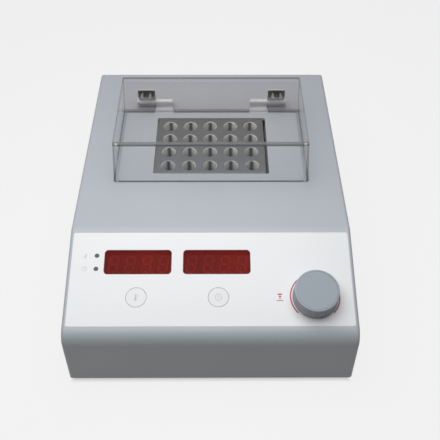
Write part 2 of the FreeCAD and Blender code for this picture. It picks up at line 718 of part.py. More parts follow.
def clamp_plate():
    """The steel plate with side ears that holds the stack up on its standoffs."""
    plate = centred_box(0, BLOCK_Y, STACK_WIDTH + 2 * STACK_EAR, STACK_DEPTH, CLAMP_BASE, INSULATION_BASE)
    cutters = [cylinder(x, y, STACK_SCREW_RADIUS + SCREW_GAP, 0, HEIGHT) for x, y in STACK_POINTS]
    window = centred_box(0, BLOCK_Y, CLAMP_WINDOW, CLAMP_WINDOW, CLAMP_BASE - WALL, HEIGHT)
    gap_y = STACK_DEPTH / 2 - STACK_EAR
    waists = [box(sx * (STACK_WIDTH / 2 + STACK_EAR / 2) - STACK_EAR / 2,
                  sx * (STACK_WIDTH / 2 + STACK_EAR / 2) + STACK_EAR / 2,
                  BLOCK_Y - gap_y, BLOCK_Y + gap_y, CLAMP_BASE - WALL, HEIGHT) for sx in (-1, 1)]
    return plate.cut(cutters + [window] + waists)


def tube(x, y, outer, inner, z0, z1):
    """An upright tube."""
    return cylinder(x, y, outer, z0, z1).cut(cylinder(x, y, inner, z0 - 1, z1 + 1))


def through_screws(points, seat):
    """Screws up from under the pan, each with a nut that sits at height seat."""
    shapes = []
    length = seat + STACK_NUT + SCREW_SPARE - FOOT_HEIGHT
    for x, y in points:
        shapes.append(pan_screw(x, y, FOOT_HEIGHT, length, STACK_SCREW_RADIUS,
                                STACK_SCREW_HEAD_RADIUS, STACK_SCREW_HEAD))
        nut = hexagon(x, y, STACK_NUT_FLAT, seat, seat + STACK_NUT)
        shapes.append(nut.cut(cylinder(x, y, STACK_SCREW_RADIUS + SCREW_GAP, 0, HEIGHT)))
    return shapes


def stack_standoffs():
    """Four tubes between the pan and the clamp plate."""
    return group([tube(x, y, STANDOFF_RADIUS, STACK_SCREW_RADIUS + SCREW_GAP, PAN_TOP, CLAMP_BASE)
                  for x, y in STACK_POINTS])


def stack_screws():
    """Four screws up through the standoffs, with nuts on the clamp plate."""
    return group(through_screws(STACK_POINTS, INSULATION_BASE))


# Lid and its hinges
def lid_blank(inset, base, top):
    """A tapered block of the lid's form, moved inward by inset."""
    wires = []
    for z in (base, top):
        taper = LID_DRAFT * (z - LID_BASE) / LID_HEIGHT
        width = LID_WIDTH - 2 * (inset + taper)
        depth = LID_DEPTH - 2 * (inset + taper)
        radius = max(LID_CORNER_RADIUS - inset, 0.5)
        corners = [Vector(sx * width / 2, LID_Y + sy * depth / 2, z)
                   for sx, sy in ((-1, -1), (1, -1), (1, 1), (-1, 1))]
        wires.append(rounded_wire(corners, [radius] * 4))
    return Part.makeLoft(wires, True, True)


def leaf_middle(side):
    """The middle of a lid leaf along X."""
    return side * (HINGE_SPLIT_X + HINGE_HALF / 2)


def foot_middle(side):
    """The middle of a hinge foot along X."""
    return side * (HINGE_SPLIT_X - HINGE_HALF / 2)


def leaf_screw_points():
    """Places of the lid's hinge screws along X."""
    return [leaf_middle(side) + end * LEAF_SCREW_SPACING / 2 for side in (-1, 1) for end in (-1, 1)]


def foot_stud_points():
    """Places of the studs under the hinge feet."""
    return [(foot_middle(side) + end * FOOT_STUD_SPACING / 2, HINGE_Y - FOOT_REACH / 2)
            for side in (-1, 1) for end in (-1, 1)]


def lid_wall_rear(rise):
    """The outer face of the lid's rear wall at a height above the flat top."""
    return LID_REAR - LID_DRAFT * rise / LID_HEIGHT


def leaf_screw_tip():
    """How far forward the leaf screws reach, short of the inner face of the lid's rear wall."""
    return lid_wall_rear(LEAF_SCREW_RISE) - LID_WALL + LEAF_SCREW_COVER


def lid_cover():
    """The clear one-piece cover, open below, with hinge pads and notches at its rear wall."""
    pads = [box(leaf_middle(side) - HINGE_HALF / 2, leaf_middle(side) + HINGE_HALF / 2,
                LID_REAR - LID_WALL, HINGE_Y - LEAF_THICKNESS, HEIGHT + PAD_RISE, HEIGHT + LEAF_HEIGHT)
            for side in (-1, 1)]
    cover = lid_blank(0, LID_BASE, LID_BASE + LID_HEIGHT).fuse(pads)
    cover = cover.cut(lid_blank(LID_WALL, LID_BASE - LID_WALL, LID_BASE + LID_HEIGHT - LID_WALL))
    cutters = []
    for side in (-1, 1):
        half = HINGE_HALF / 2 + NOTCH_CLEARANCE
        cutters.append(box(foot_middle(side) - half, foot_middle(side) + half,
                           LID_REAR - 2 * LID_WALL, LID_REAR + LID_WALL,
                           HEIGHT - WALL, HEIGHT + FOOT_PLATE + NOTCH_CLEARANCE))
    screw_z = HEIGHT + LEAF_SCREW_RISE
    for x in leaf_screw_points():
        cutters.append(rod_y(x, leaf_screw_tip() - SEAT_GAP, HINGE_Y, screw_z, LEAF_SCREW_RADIUS + SCREW_GAP))
    return cover.cut(cutters)


def knuckle(x0, x1):
    """A length of hinge barrel, before its bore."""
    return rod_x(x0, x1, HINGE_Y, HINGE_Z, BARREL_RADIUS)


def pin_bore():
    """The bore for the hinge pins, over the whole width."""
    return rod_x(-WIDTH / 2, WIDTH / 2, HINGE_Y, HINGE_Z, HINGE_PIN_RADIUS + RUN_GAP)


def hinge_foot(side):
    """The fixed half of a hinge: foot plate, web, knuckle and the two studs under it."""
    x0 = foot_middle(side) - HINGE_HALF / 2 + KNUCKLE_GAP / 2
    x1 = foot_middle(side) + HINGE_HALF / 2 - KNUCKLE_GAP / 2
    plate = box(x0, x1, HINGE_Y - FOOT_REACH, HINGE_Y + BARREL_RADIUS, HEIGHT, HEIGHT + FOOT_PLATE)
    web = box(x0, x1, HINGE_Y - BARREL_RADIUS * 0.7, HINGE_Y + BARREL_RADIUS * 0.7,
              HEIGHT + FOOT_PLATE / 2, HINGE_Z)
    studs = [cylinder(x, y, FOOT_STUD_RADIUS, HEIGHT - FOOT_STUD_LENGTH, HEIGHT + FOOT_PLATE / 2)
             for x, y in foot_stud_points() if x * side > 0]
    return join([plate, web, knuckle(x0, x1)] + studs).cut(pin_bore())


def hinge_leaf(side):
    """The moving half of a hinge: an upright leaf rising from its knuckle."""
    x0 = leaf_middle(side) - HINGE_HALF / 2 + KNUCKLE_GAP / 2
    x1 = leaf_middle(side) + HINGE_HALF / 2 - KNUCKLE_GAP / 2
    top = HEIGHT + LEAF_HEIGHT
    plate = box(x0, x1, HINGE_Y - LEAF_THICKNESS, HINGE_Y, HINGE_Z, top)
    corners = [edge for edge in plate.Edges
               if edge.BoundBox.YLength > LEAF_THICKNESS / 2 and edge.BoundBox.ZMin > top - LEAF_THICKNESS / 2]
    plate = plate.makeFillet(LEAF_THICKNESS, corners)
    outer = side * (HINGE_SPLIT_X + HINGE_HALF + KNUCKLE_OVERHANG)
    leaf = join([plate, knuckle(min(x0, outer), max(x1, outer))]).cut(pin_bore())
    holes = [rod_y(x, 0, REAR_Y, HEIGHT + LEAF_SCREW_RISE, LEAF_SCREW_RADIUS + SCREW_GAP)
             for x in leaf_screw_points() if x * side > 0]
    return leaf.cut(holes)


def hinge_pins():
    """Two pins, one through each hinge."""
    pins = []
    for side in (-1, 1):
        inner = side * (HINGE_SPLIT_X - HINGE_HALF)
        outer = side * (HINGE_SPLIT_X + HINGE_HALF + KNUCKLE_OVERHANG)
        pins.append(rod_x(min(inner, outer), max(inner, outer), HINGE_Y, HINGE_Z, HINGE_PIN_RADIUS))
    return group(pins)


def hinge_foot_nuts():
    """Nuts on the hinge studs, under the shell's roof."""
    top = HEIGHT - WALL
    return group([hexagon(x, y, FOOT_NUT_FLAT, top - FOOT_NUT, top).cut(
        cylinder(x, y, FOOT_STUD_RADIUS + SCREW_GAP, top - 2 * FOOT_NUT, HEIGHT))
        for x, y in foot_stud_points()])


def leaf_screws():
    """Domed screws through the leaves into tapped holes in the lid's pads and rear wall."""
    length = HINGE_Y - leaf_screw_tip()
    dome = revolve([(0, -length), (LEAF_SCREW_RADIUS, -length), (LEAF_SCREW_RADIUS, 0),
                    (LEAF_SCREW_HEAD_RADIUS, 0), (LEAF_SCREW_HEAD_RADIUS, LEAF_SCREW_HEAD),
                    (0, LEAF_SCREW_HEAD)], 0, 0, [0, 0, 0, 0, LEAF_SCREW_HEAD * 0.95, 0])
    socket = hexagon(0, 0, LEAF_SCREW_RADIUS * 1.2, LEAF_SCREW_HEAD * 0.4, LEAF_SCREW_HEAD * 2)
    dome = dome.cut(socket)
    return group([along_y(dome, x, HINGE_Y, HEIGHT + LEAF_SCREW_RISE) for x in leaf_screw_points()])


# Control panel pieces, in panel coordinates
def panel_overlay():
    """The pale sheet in the panel's recess, cut out for windows, keys, lights and knob."""
    middle = -(OVERLAY_TOP + OVERLAY_LENGTH / 2)
    sheet = rounded_plate(0, middle, OVERLAY_WIDTH - 2 * SCREW_GAP, OVERLAY_LENGTH - 2 * SCREW_GAP,
                          OVERLAY_RADIUS, -OVERLAY_THICKNESS, 0)
    cutters = [rounded_plate(x, -DISPLAY_DOWN, DISPLAY_WIDTH, DISPLAY_HEIGHT, DISPLAY_RADIUS, -WALL, WALL)
               for x in (DISPLAY_LEFT_X, DISPLAY_RIGHT_X)]
    cutters += [panel_hole(x, KEY_DOWN, KEY_RADIUS + KEY_GAP) for x in (KEY_LEFT_X, KEY_RIGHT_X)]
    cutters += [panel_hole(LIGHT_X, down, LIGHT_RADIUS) for down in (LIGHT_UPPER_DOWN, LIGHT_LOWER_DOWN)]
    cutters.append(panel_hole(KNOB_X, KNOB_DOWN, BUSHING_RADIUS + SCREW_GAP))
    return on_panel(sheet.cut(cutters))


def display_window(x):
    """A red filter set in its opening, with a lip behind the shell's wall."""
    pane = rounded_plate(x, -DISPLAY_DOWN, DISPLAY_WIDTH - 2 * SCREW_GAP, DISPLAY_HEIGHT - 2 * SCREW_GAP,
                         DISPLAY_RADIUS, -WALL - FILTER_LIP_THICKNESS, -FILTER_RECESS)
    lip = rounded_plate(x, -DISPLAY_DOWN, DISPLAY_WIDTH + 2 * FILTER_LIP, DISPLAY_HEIGHT + 2 * FILTER_LIP,
                        DISPLAY_RADIUS + FILTER_LIP, -WALL - FILTER_LIP_THICKNESS, -WALL)
    return on_panel(join([pane, lip]))


def segment(x, y, length, angle, z0, z1):
    """One pointed bar of a digit."""
    half = length / 2
    tip = SEGMENT_WIDTH / 2
    turn = math.radians(angle)
    slant = math.tan(math.radians(DIGIT_SLANT))
    points = []
    for along, across in ((-half, 0), (-half + tip, tip), (half - tip, tip),
                          (half, 0), (half - tip, -tip), (-half + tip, -tip)):
        px = x + along * math.cos(turn) - across * math.sin(turn)
        py = y + along * math.sin(turn) + across * math.cos(turn)
        points.append(Vector(px + (py + DISPLAY_DOWN) * slant, py, z0))
    return Part.Face(Part.makePolygon(points + points[:1])).extrude(Vector(0, 0, z1 - z0))


def digit_segments(x, z0, z1):
    """The bars and points of one display's digits, in panel coordinates."""
    shapes = []
    across = DIGIT_WIDTH - SEGMENT_WIDTH
    half = (DIGIT_HEIGHT - SEGMENT_WIDTH) / 2
    for i in range(DIGITS):
        cx = x + (i - (DIGITS - 1) / 2) * DIGIT_PITCH
        for step in (-1, 0, 1):
            shapes.append(segment(cx, -DISPLAY_DOWN + step * half, across - 2 * SEGMENT_GAP, 0, z0, z1))
        for sx in (-1, 1):
            for sy in (-1, 1):
                shapes.append(segment(cx + sx * across / 2, -DISPLAY_DOWN + sy * half / 2,
                                      half - 2 * SEGMENT_GAP, 90, z0, z1))
        point_x = cx + across / 2 + SEGMENT_WIDTH + POINT_RADIUS
        shapes.append(cylinder(point_x - half * math.tan(math.radians(DIGIT_SLANT)),
                               -DISPLAY_DOWN - half, POINT_RADIUS, z0, z1))
    return shapes


def display_module(x):
    """A four-digit display with a shallow pocket for each bar."""
    body = centred_box(x, -DISPLAY_DOWN, MODULE_WIDTH, MODULE_DEPTH, BOARD_FACE, MODULE_FACE)
    return on_panel(body.cut(digit_segments(x, MODULE_FACE - SEGMENT_THICKNESS, MODULE_FACE + WALL)))


def display_segments():
    """The light bars of both displays, flush with the modules' faces."""
    shapes = []
    for x in (DISPLAY_LEFT_X, DISPLAY_RIGHT_X):
        shapes += digit_segments(x, MODULE_FACE - SEGMENT_THICKNESS, MODULE_FACE)
    return group([on_panel(shape) for shape in shapes])


def status_lenses():
    """Two light pipes flush with the overlay, each with a collar behind the wall."""
    foot = BOARD_FACE + LED_HEIGHT + SEAT_GAP
    radius = LIGHT_RADIUS - SCREW_GAP
    lenses = []
    for down in (LIGHT_UPPER_DOWN, LIGHT_LOWER_DOWN):
        lenses.append(on_panel(revolve(
            [(0, foot), (radius, foot), (radius, -WALL - LIGHT_COLLAR_THICKNESS),
             (radius + LIGHT_COLLAR, -WALL - LIGHT_COLLAR_THICKNESS), (radius + LIGHT_COLLAR, -WALL),
             (radius, -WALL), (radius, 0), (0, 0)], LIGHT_X, -down)))
    return group(lenses)


def status_leds():
    """Two round lamps on the control board."""
    lamps = []
    for down in (LIGHT_UPPER_DOWN, LIGHT_LOWER_DOWN):
        top = BOARD_FACE + LED_HEIGHT
        lamps.append(on_panel(revolve([(0, BOARD_FACE), (LED_RADIUS, BOARD_FACE), (LED_RADIUS, top),
                                       (0, top)], LIGHT_X, -down, [0, 0, LED_RADIUS * 0.95, 0])))
    return group(lamps)


def control_board():
    """The circuit board behind the panel."""
    middle = -(BOARD_TOP + BOARD_BOTTOM) / 2
    board = centred_box(0, middle, BOARD_WIDTH, BOARD_BOTTOM - BOARD_TOP,
                        BOARD_FACE - BOARD_THICKNESS, BOARD_FACE)
    holes = [cylinder(x, y, BOARD_SCREW_RADIUS + SCREW_GAP, BOARD_FACE - 2 * BOARD_THICKNESS, 0)
             for x, y in BOARD_POINTS]
    return on_panel(board.cut(holes))


def board_screws():
    """Four screws through the board into the shell's bosses."""
    seat = BOARD_FACE - BOARD_THICKNESS
    return group([on_panel(pan_screw(x, y, seat, BOARD_SCREW_LENGTH, BOARD_SCREW_RADIUS,
                                     BOARD_SCREW_HEAD_RADIUS, BOARD_SCREW_HEAD)) for x, y in BOARD_POINTS])


def key_button(x):
    """A round key: flush disc, retaining flange behind the wall, and a stem down to its switch."""
    flange_top = -WALL - RUN_GAP
    stem_base = BOARD_FACE + SWITCH_HEIGHT + SWITCH_PLUNGER + RUN_GAP
    return on_panel(revolve(
        [(0, stem_base), (KEY_STEM_RADIUS, stem_base),
         (KEY_STEM_RADIUS, flange_top - KEY_FLANGE_THICKNESS),
         (KEY_RADIUS + KEY_FLANGE, flange_top - KEY_FLANGE_THICKNESS),
         (KEY_RADIUS + KEY_FLANGE, flange_top), (KEY_RADIUS, flange_top), (KEY_RADIUS, 0), (0, 0)],
        x, -KEY_DOWN))


def switch_plunger(x):
    """The small plunger under a key, which slides in its switch."""
    top = BOARD_FACE + SWITCH_HEIGHT
    return on_panel(cylinder(x, -KEY_DOWN, SWITCH_PLUNGER_RADIUS, top - SWITCH_WELL + KEY_TRAVEL + RUN_GAP,
                             top + SWITCH_PLUNGER))


def key_switches():
    """Two small push switches on the board, each with a blind bore for its plunger."""
    top = BOARD_FACE + SWITCH_HEIGHT
    switches = []
    for x in (KEY_LEFT_X, KEY_RIGHT_X):
        body = centred_box(x, -KEY_DOWN, SWITCH_SIDE, SWITCH_SIDE, BOARD_FACE, top)
        bore = cylinder(x, -KEY_DOWN, SWITCH_PLUNGER_RADIUS + RUN_GAP, top - SWITCH_WELL, top + WALL)
        switches.append(on_panel(body.cut(bore)))
    return group(switches)


# Encoder and knob, built about the origin and then moved to the knob's place on the panel
def at_knob(shape):
    """Moves a shape built about the knob's own axis to its place."""
    placed = shape.copy()
    placed.Placement = Placement(Vector(KNOB_X, -KNOB_DOWN, 0), Rotation()).multiply(placed.Placement)
    return on_panel(placed)


def encoder_body():
    """The push encoder: case on the board, round shoulder under the wall, and bored bushing."""
    case_top = BOARD_FACE + ENCODER_HEIGHT
    case = centred_box(0, 0, ENCODER_SIDE, ENCODER_SIDE, BOARD_FACE, case_top)
    shoulder = cylinder(0, 0, ENCODER_SHOULDER_RADIUS, case_top, -WALL)
    bushing = cylinder(0, 0, BUSHING_RADIUS, -WALL, BUSHING_STAND)
    bore = cylinder(0, 0, SHAFT_RADIUS + RUN_GAP, BOARD_FACE + ENCODER_FLOOR, BUSHING_STAND + WALL)
    return at_knob(join([case, shoulder, bushing]).cut(bore))


def encoder_nut():
    """The nut and washer that clamp the encoder to the panel."""
    hole = cylinder(0, 0, BUSHING_RADIUS + SCREW_GAP, -WALL, KNOB_HEIGHT)
    washer = cylinder(0, 0, ENCODER_WASHER_RADIUS, 0, ENCODER_WASHER).cut(hole)
    nut = hexagon(0, 0, ENCODER_NUT_FLAT, ENCODER_WASHER, ENCODER_WASHER + ENCODER_NUT_HEIGHT).cut(hole)
    return group([at_knob(washer), at_knob(nut)])


PLUNGER_BASE = BOARD_FACE + ENCODER_FLOOR + KNOB_PUSH + SEAT_GAP
SHAFT_BASE = PLUNGER_BASE + PLUNGER_HEIGHT + RUN_GAP
KNOB_CEILING = KNOB_HEIGHT - CAP_THICKNESS - KNOB_ROOF
SHAFT_TOP = KNOB_CEILING - SEAT_GAP
BOSS_BASE = BUSHING_STAND + KNOB_PUSH + SEAT_GAP
SET_SCREW_Z = (BOSS_BASE + KNOB_CEILING) / 2


def push_plunger():
    """The contact plunger under the shaft, pushed down with the knob but not turned by it."""
    return at_knob(cylinder(0, 0, PLUNGER_RADIUS, PLUNGER_BASE, PLUNGER_BASE + PLUNGER_HEIGHT))


def shaft_form(gap):
    """The encoder shaft's form grown by gap, with its flat facing down the panel."""
    rod = cylinder(0, 0, SHAFT_RADIUS + gap, SHAFT_BASE, SHAFT_TOP + gap)
    reach = 2 * SHAFT_RADIUS
    flat = box(-reach, reach, SHAFT_RADIUS - SHAFT_FLAT + gap, reach, BOSS_BASE, KNOB_HEIGHT)
    return rod.cut(flat)


def encoder_shaft():
    """The shaft with its flat, running in the bushing."""
    return at_knob(shaft_form(0))


def star_wire(radius, z):
    """A closed outline of shallow ribs."""
    points = []
    for i in range(2 * KNOB_RIBS):
        reach = radius if i % 2 == 0 else radius - KNOB_RIB_DEPTH
        turn = math.pi * i / KNOB_RIBS
        points.append(Vector(reach * math.cos(turn), reach * math.sin(turn), z))
    return Part.makePolygon(points + points[:1])


def control_knob():
    """The ribbed knob: tapered skirt, hollow below, with a boss on the shaft and a recess for its cap."""
    ribs = Part.makeLoft([star_wire(KNOB_RADIUS, KNOB_LIFT), star_wire(KNOB_TOP_RADIUS, KNOB_HEIGHT)],
                         True, True)
    crown = revolve([(0, KNOB_LIFT), (KNOB_RADIUS, KNOB_LIFT), (KNOB_RADIUS, KNOB_HEIGHT),
                     (0, KNOB_HEIGHT)], 0, 0, [0, 0, KNOB_RADIUS - KNOB_TOP_RADIUS + KNOB_EDGE_RADIUS, 0])
    knob = ribs.common(crown)
    cavity = cylinder(0, 0, KNOB_RADIUS - KNOB_SHELL, 0, KNOB_CEILING)
    cavity = cavity.cut(cylinder(0, 0, KNOB_BOSS_RADIUS, BOSS_BASE, KNOB_HEIGHT))
    recess = cylinder(0, 0, CAP_RADIUS, KNOB_HEIGHT - CAP_THICKNESS, KNOB_HEIGHT + WALL)
    screw_hole = Part.makeCylinder(SET_SCREW_RADIUS + SCREW_GAP, KNOB_RADIUS + WALL,
                                   Vector(0, 0, SET_SCREW_Z), Y_AXIS)
    return at_knob(knob.cut([cavity, recess, screw_hole, shaft_form(SCREW_GAP)]))


def knob_cap():
    """The pale disc in the knob's top."""
    radius = CAP_RADIUS - SCREW_GAP
    base = KNOB_HEIGHT - CAP_THICKNESS
    return at_knob(revolve([(0, base), (radius, base), (radius, KNOB_HEIGHT), (0, KNOB_HEIGHT)],
                           0, 0, [0, 0, CAP_EDGE_RADIUS, 0]))


def knob_set_screw():
    """The grub screw that holds the knob on the shaft's flat."""
    start = SHAFT_RADIUS - SHAFT_FLAT + RUN_GAP
    screw = Part.makeCylinder(SET_SCREW_RADIUS, KNOB_BOSS_RADIUS - start,
                              Vector(0, start, SET_SCREW_Z), Y_AXIS)
    return at_knob(screw)


# Mains inlet and switch, in the rear upright
OUTER = REAR_SHEET_Y + INLET_FLANGE
SOCKET_Z = INLET_Z + SOCKET_RISE
DRAWER_Z = INLET_Z - DRAWER_DROP
DRAWER_BACK = OUTER - DRAWER_DEPTH


def socket_cutter():
    """The mains socket's cavity, with its two upper corners cut off."""
    half_w, half_h = SOCKET_WIDTH / 2, SOCKET_HEIGHT / 2
    cut = SOCKET_CORNER
    outline = [(-half_w, -half_h), (half_w, -half_h), (half_w, half_h - cut),
               (half_w - cut, half_h), (-half_w + cut, half_h), (-half_w, half_h - cut)]
    back = OUTER - SOCKET_DEPTH
    corners = [Vector(INLET_X + x, back, SOCKET_Z + z) for x, z in outline]
    face = Part.Face(rounded_wire(corners, [SOCKET_RADIUS] * len(corners)))
    return face.extrude(Vector(0, SOCKET_DEPTH + WALL, 0))


def blade_boxes(gap):
    """The inlet's three blades grown by gap, from their tips to the tabs behind the body."""
    places = [(-BLADE_SPREAD, -BLADE_OFFSET), (BLADE_SPREAD, -BLADE_OFFSET), (0, BLADE_OFFSET)]
    tip = OUTER - SOCKET_DEPTH + BLADE_LENGTH
    back = REAR_SHEET_Y - INLET_BODY_DEPTH - TERMINAL_LENGTH
    return [box(INLET_X + x - BLADE_WIDTH / 2 - gap, INLET_X + x + BLADE_WIDTH / 2 + gap, back, tip,
                SOCKET_Z + z - BLADE_HEIGHT / 2 - gap, SOCKET_Z + z + BLADE_HEIGHT / 2 + gap)
            for x, z in places]


def mains_inlet():
    """The moulded inlet: flange, body, socket, drawer cavity and two side catches."""
    flange = rounded_wall_hole(INLET_X, INLET_Z, INLET_FLANGE_WIDTH, INLET_FLANGE_HEIGHT,
                               INLET_FLANGE_RADIUS, REAR_SHEET_Y, OUTER)
    body = rounded_wall_hole(INLET_X, INLET_Z, INLET_BODY_WIDTH, INLET_BODY_HEIGHT,
                             INLET_BODY_RADIUS, REAR_SHEET_Y - INLET_BODY_DEPTH, REAR_SHEET_Y)
    catch_y = REAR_SHEET_Y - SHEET - SCREW_GAP
    catches = []
    for side in (-1, 1):
        root = INLET_X + side * INLET_BODY_WIDTH / 2
        base = INLET_Z - CATCH_WIDTH / 2
        points = [Vector(root, catch_y - CATCH_LENGTH, base),
                  Vector(root + side * CATCH_REACH, catch_y, base), Vector(root, catch_y, base)]
        wedge = Part.Face(Part.makePolygon(points + points[:1]))
        catches.append(wedge.extrude(Vector(0, 0, CATCH_WIDTH)))
    cavity = box(INLET_X - DRAWER_WIDTH / 2 - SEAT_GAP, INLET_X + DRAWER_WIDTH / 2 + SEAT_GAP,
                 DRAWER_BACK - SEAT_GAP, OUTER + WALL,
                 DRAWER_Z - DRAWER_HEIGHT / 2 - SEAT_GAP, DRAWER_Z + DRAWER_HEIGHT / 2 + SEAT_GAP)
    return join([flange, body] + catches).cut([socket_cutter(), cavity] + blade_boxes(0))


def inlet_blades():
    """The three contact blades, fixed in the inlet's back wall."""
    return group(blade_boxes(0))


def fuse_drawer():
    """The drawer: face with a finger nib, and an open tray for two fuses."""
    half_w, half_h = DRAWER_WIDTH / 2, DRAWER_HEIGHT / 2
    tray = box(INLET_X - half_w, INLET_X + half_w, DRAWER_BACK, OUTER, DRAWER_Z - half_h, DRAWER_Z + half_h)
    pocket = box(INLET_X - half_w + DRAWER_WALL, INLET_X + half_w - DRAWER_WALL,
                 DRAWER_BACK + DRAWER_WALL, OUTER - DRAWER_FACE,
                 DRAWER_Z - half_h + DRAWER_WALL, DRAWER_Z + half_h + WALL)
    nib = rod_x(INLET_X - half_w / 2, INLET_X + half_w / 2, OUTER - SEAT_GAP, DRAWER_Z, DRAWER_NIB_RADIUS)
    return join([tray, nib]).cut(pocket)


def fuses():
    """Two glass fuses in the drawer: the one in use and a spare."""
    z = DRAWER_Z - DRAWER_HEIGHT / 2 + DRAWER_WALL + FUSE_RADIUS
    first = DRAWER_BACK + DRAWER_WALL + FUSE_RADIUS + SCREW_GAP
    shapes = []
    for y in (first, first + 2 * FUSE_RADIUS + FUSE_SPACING):
        half = FUSE_LENGTH / 2
        glass = rod_x(INLET_X - half + FUSE_CAP_LENGTH, INLET_X + half - FUSE_CAP_LENGTH, y, z,
                      FUSE_GLASS_RADIUS)
        caps = [rod_x(INLET_X - half, INLET_X - half + FUSE_CAP_LENGTH, y, z, FUSE_RADIUS),
                rod_x(INLET_X + half - FUSE_CAP_LENGTH, INLET_X + half, y, z, FUSE_RADIUS)]
        shapes.append(join([glass] + caps))
    return group(shapes)


PIVOT_Y = REAR_SHEET_Y - ROCKER_PIVOT_DEPTH
ROCKER_WIDTH = ROCKER_FRAME_WIDTH - 2 * ROCKER_FRAME_WALL - 2 * SEAT_GAP
ROCKER_RADIUS = ROCKER_FRAME_HEIGHT / 2 - ROCKER_FRAME_WALL - SEAT_GAP


def switch_frame():
    """The switch's frame: lip outside the sheet and a deep case behind it."""
    lip = rounded_wall_hole(ROCKER_X, ROCKER_Z, ROCKER_FRAME_WIDTH + 2 * ROCKER_LIP,
                            ROCKER_FRAME_HEIGHT + 2 * ROCKER_LIP, ROCKER_FRAME_RADIUS, REAR_SHEET_Y,
                            REAR_SHEET_Y + ROCKER_FLANGE)
    back = REAR_SHEET_Y - ROCKER_FRAME_DEPTH
    case = rounded_wall_hole(ROCKER_X, ROCKER_Z, ROCKER_FRAME_WIDTH, ROCKER_FRAME_HEIGHT,
                             ROCKER_FRAME_RADIUS, back, REAR_SHEET_Y)
    inside = box(ROCKER_X - ROCKER_WIDTH / 2 - SEAT_GAP, ROCKER_X + ROCKER_WIDTH / 2 + SEAT_GAP,
                 back + ROCKER_FRAME_WALL, REAR_Y,
                 ROCKER_Z - ROCKER_RADIUS - SEAT_GAP, ROCKER_Z + ROCKER_RADIUS + SEAT_GAP)
    return join([lip, case]).cut([inside, switch_pivot()] + terminal_boxes())


def terminal_boxes():
    """The switch's three tabs, through the back of its case."""
    back = REAR_SHEET_Y - ROCKER_FRAME_DEPTH
    return [box(ROCKER_X - TERMINAL_WIDTH / 2, ROCKER_X + TERMINAL_WIDTH / 2,
                back - TERMINAL_LENGTH, back + ROCKER_FRAME_WALL,
                ROCKER_Z + step * TAB_PITCH - TERMINAL_THICKNESS / 2,
                ROCKER_Z + step * TAB_PITCH + TERMINAL_THICKNESS / 2) for step in (-1, 0, 1)]


def rocker_button():
    """The rocker: a drum cut by two faces that meet in a shallow valley, tilted to its lower stop."""
    half = ROCKER_WIDTH / 2
    drum = rod_x(ROCKER_X - half, ROCKER_X + half, PIVOT_Y, ROCKER_Z, ROCKER_RADIUS)
    climb = ROCKER_RADIUS * math.tan(math.radians(ROCKER_TILT))
    reach = 2 * ROCKER_RADIUS
    outline = [(-ROCKER_BELLY, -reach), (ROCKER_RISE + 2 * climb, -reach), (ROCKER_RISE, 0),
               (ROCKER_RISE + 2 * climb, reach), (-ROCKER_BELLY, reach)]
    points = [Vector(ROCKER_X - half, PIVOT_Y + y, ROCKER_Z + z) for y, z in outline]
    keep = Part.Face(Part.makePolygon(points + points[:1])).extrude(Vector(2 * half, 0, 0))
    rocker = drum.common(keep)
    rocker = rocker.cut(rod_x(ROCKER_X - reach, ROCKER_X + reach, PIVOT_Y, ROCKER_Z,
                              ROCKER_PIN_RADIUS + RUN_GAP))
    rocker.rotate(Vector(ROCKER_X, PIVOT_Y, ROCKER_Z), X_AXIS, -ROCKER_TILT)
    return rocker


def switch_pivot():
    """The pin that the rocker tilts on."""
    half = ROCKER_WIDTH / 2 + SEAT_GAP + ROCKER_PIN_SEAT
    return rod_x(ROCKER_X - half, ROCKER_X + half, PIVOT_Y, ROCKER_Z, ROCKER_PIN_RADIUS)


# Power board in the front compartment
POWER_BASE = PAN_TOP + POWER_STANDOFF
POWER_TOP = POWER_BASE + POWER_THICKNESS


def power_board():
    """The mains board, bored for its screws."""
    board = centred_box(0, POWER_Y, POWER_WIDTH, POWER_DEPTH, POWER_BASE, POWER_TOP)
    return board.cut([cylinder(x, y, STACK_SCREW_RADIUS + SCREW_GAP, 0, HEIGHT) for x, y in POWER_POINTS])


def power_standoffs():
    """Four tubes under the mains board."""
    return group([tube(x, y, STANDOFF_RADIUS, STACK_SCREW_RADIUS + SCREW_GAP, PAN_TOP, POWER_BASE)
                  for x, y in POWER_POINTS])


def power_screws():
    """Four screws up through the pan and the board, each with its nut."""
    return group(through_screws(POWER_POINTS, POWER_TOP))


def board_transformer():
    """A small laminated transformer: core, and the winding that bulges from both sides."""
    core = centred_box(CORE_X, POWER_Y, CORE_WIDTH, CORE_DEPTH, POWER_TOP, POWER_TOP + CORE_HEIGHT)
    winding = rounded_plate(CORE_X, POWER_Y, WINDING_WIDTH, WINDING_DEPTH, WINDING_RADIUS,
                            POWER_TOP + WINDING_INSET, POWER_TOP + CORE_HEIGHT - WINDING_INSET)
    return join([core, winding])


def power_capacitors():
    """Three round smoothing capacitors in a row."""
    return group([revolve([(0, POWER_TOP), (radius, POWER_TOP), (radius, POWER_TOP + height),
                           (0, POWER_TOP + height)], x, POWER_Y + CAPACITOR_ROW, [0, 0, CAPACITOR_EDGE, 0])
                  for x, radius, height in CAPACITORS])


def heat_sink():
    """A finned aluminium sink that stands on the board."""
    front = POWER_Y + SINK_ROW - SINK_SPINE / 2
    left = SINK_X - SINK_WIDTH / 2
    pitch = (SINK_WIDTH - SINK_FIN) / (SINK_FINS - 1)
    top = POWER_TOP + SINK_HEIGHT
    fins = [box(left + i * pitch, left + i * pitch + SINK_FIN, front, front + SINK_SPINE + SINK_FIN_LENGTH,
                POWER_TOP, top) for i in range(SINK_FINS)]
    return join([box(left, left + SINK_WIDTH, front, front + SINK_SPINE, POWER_TOP, top)] + fins)


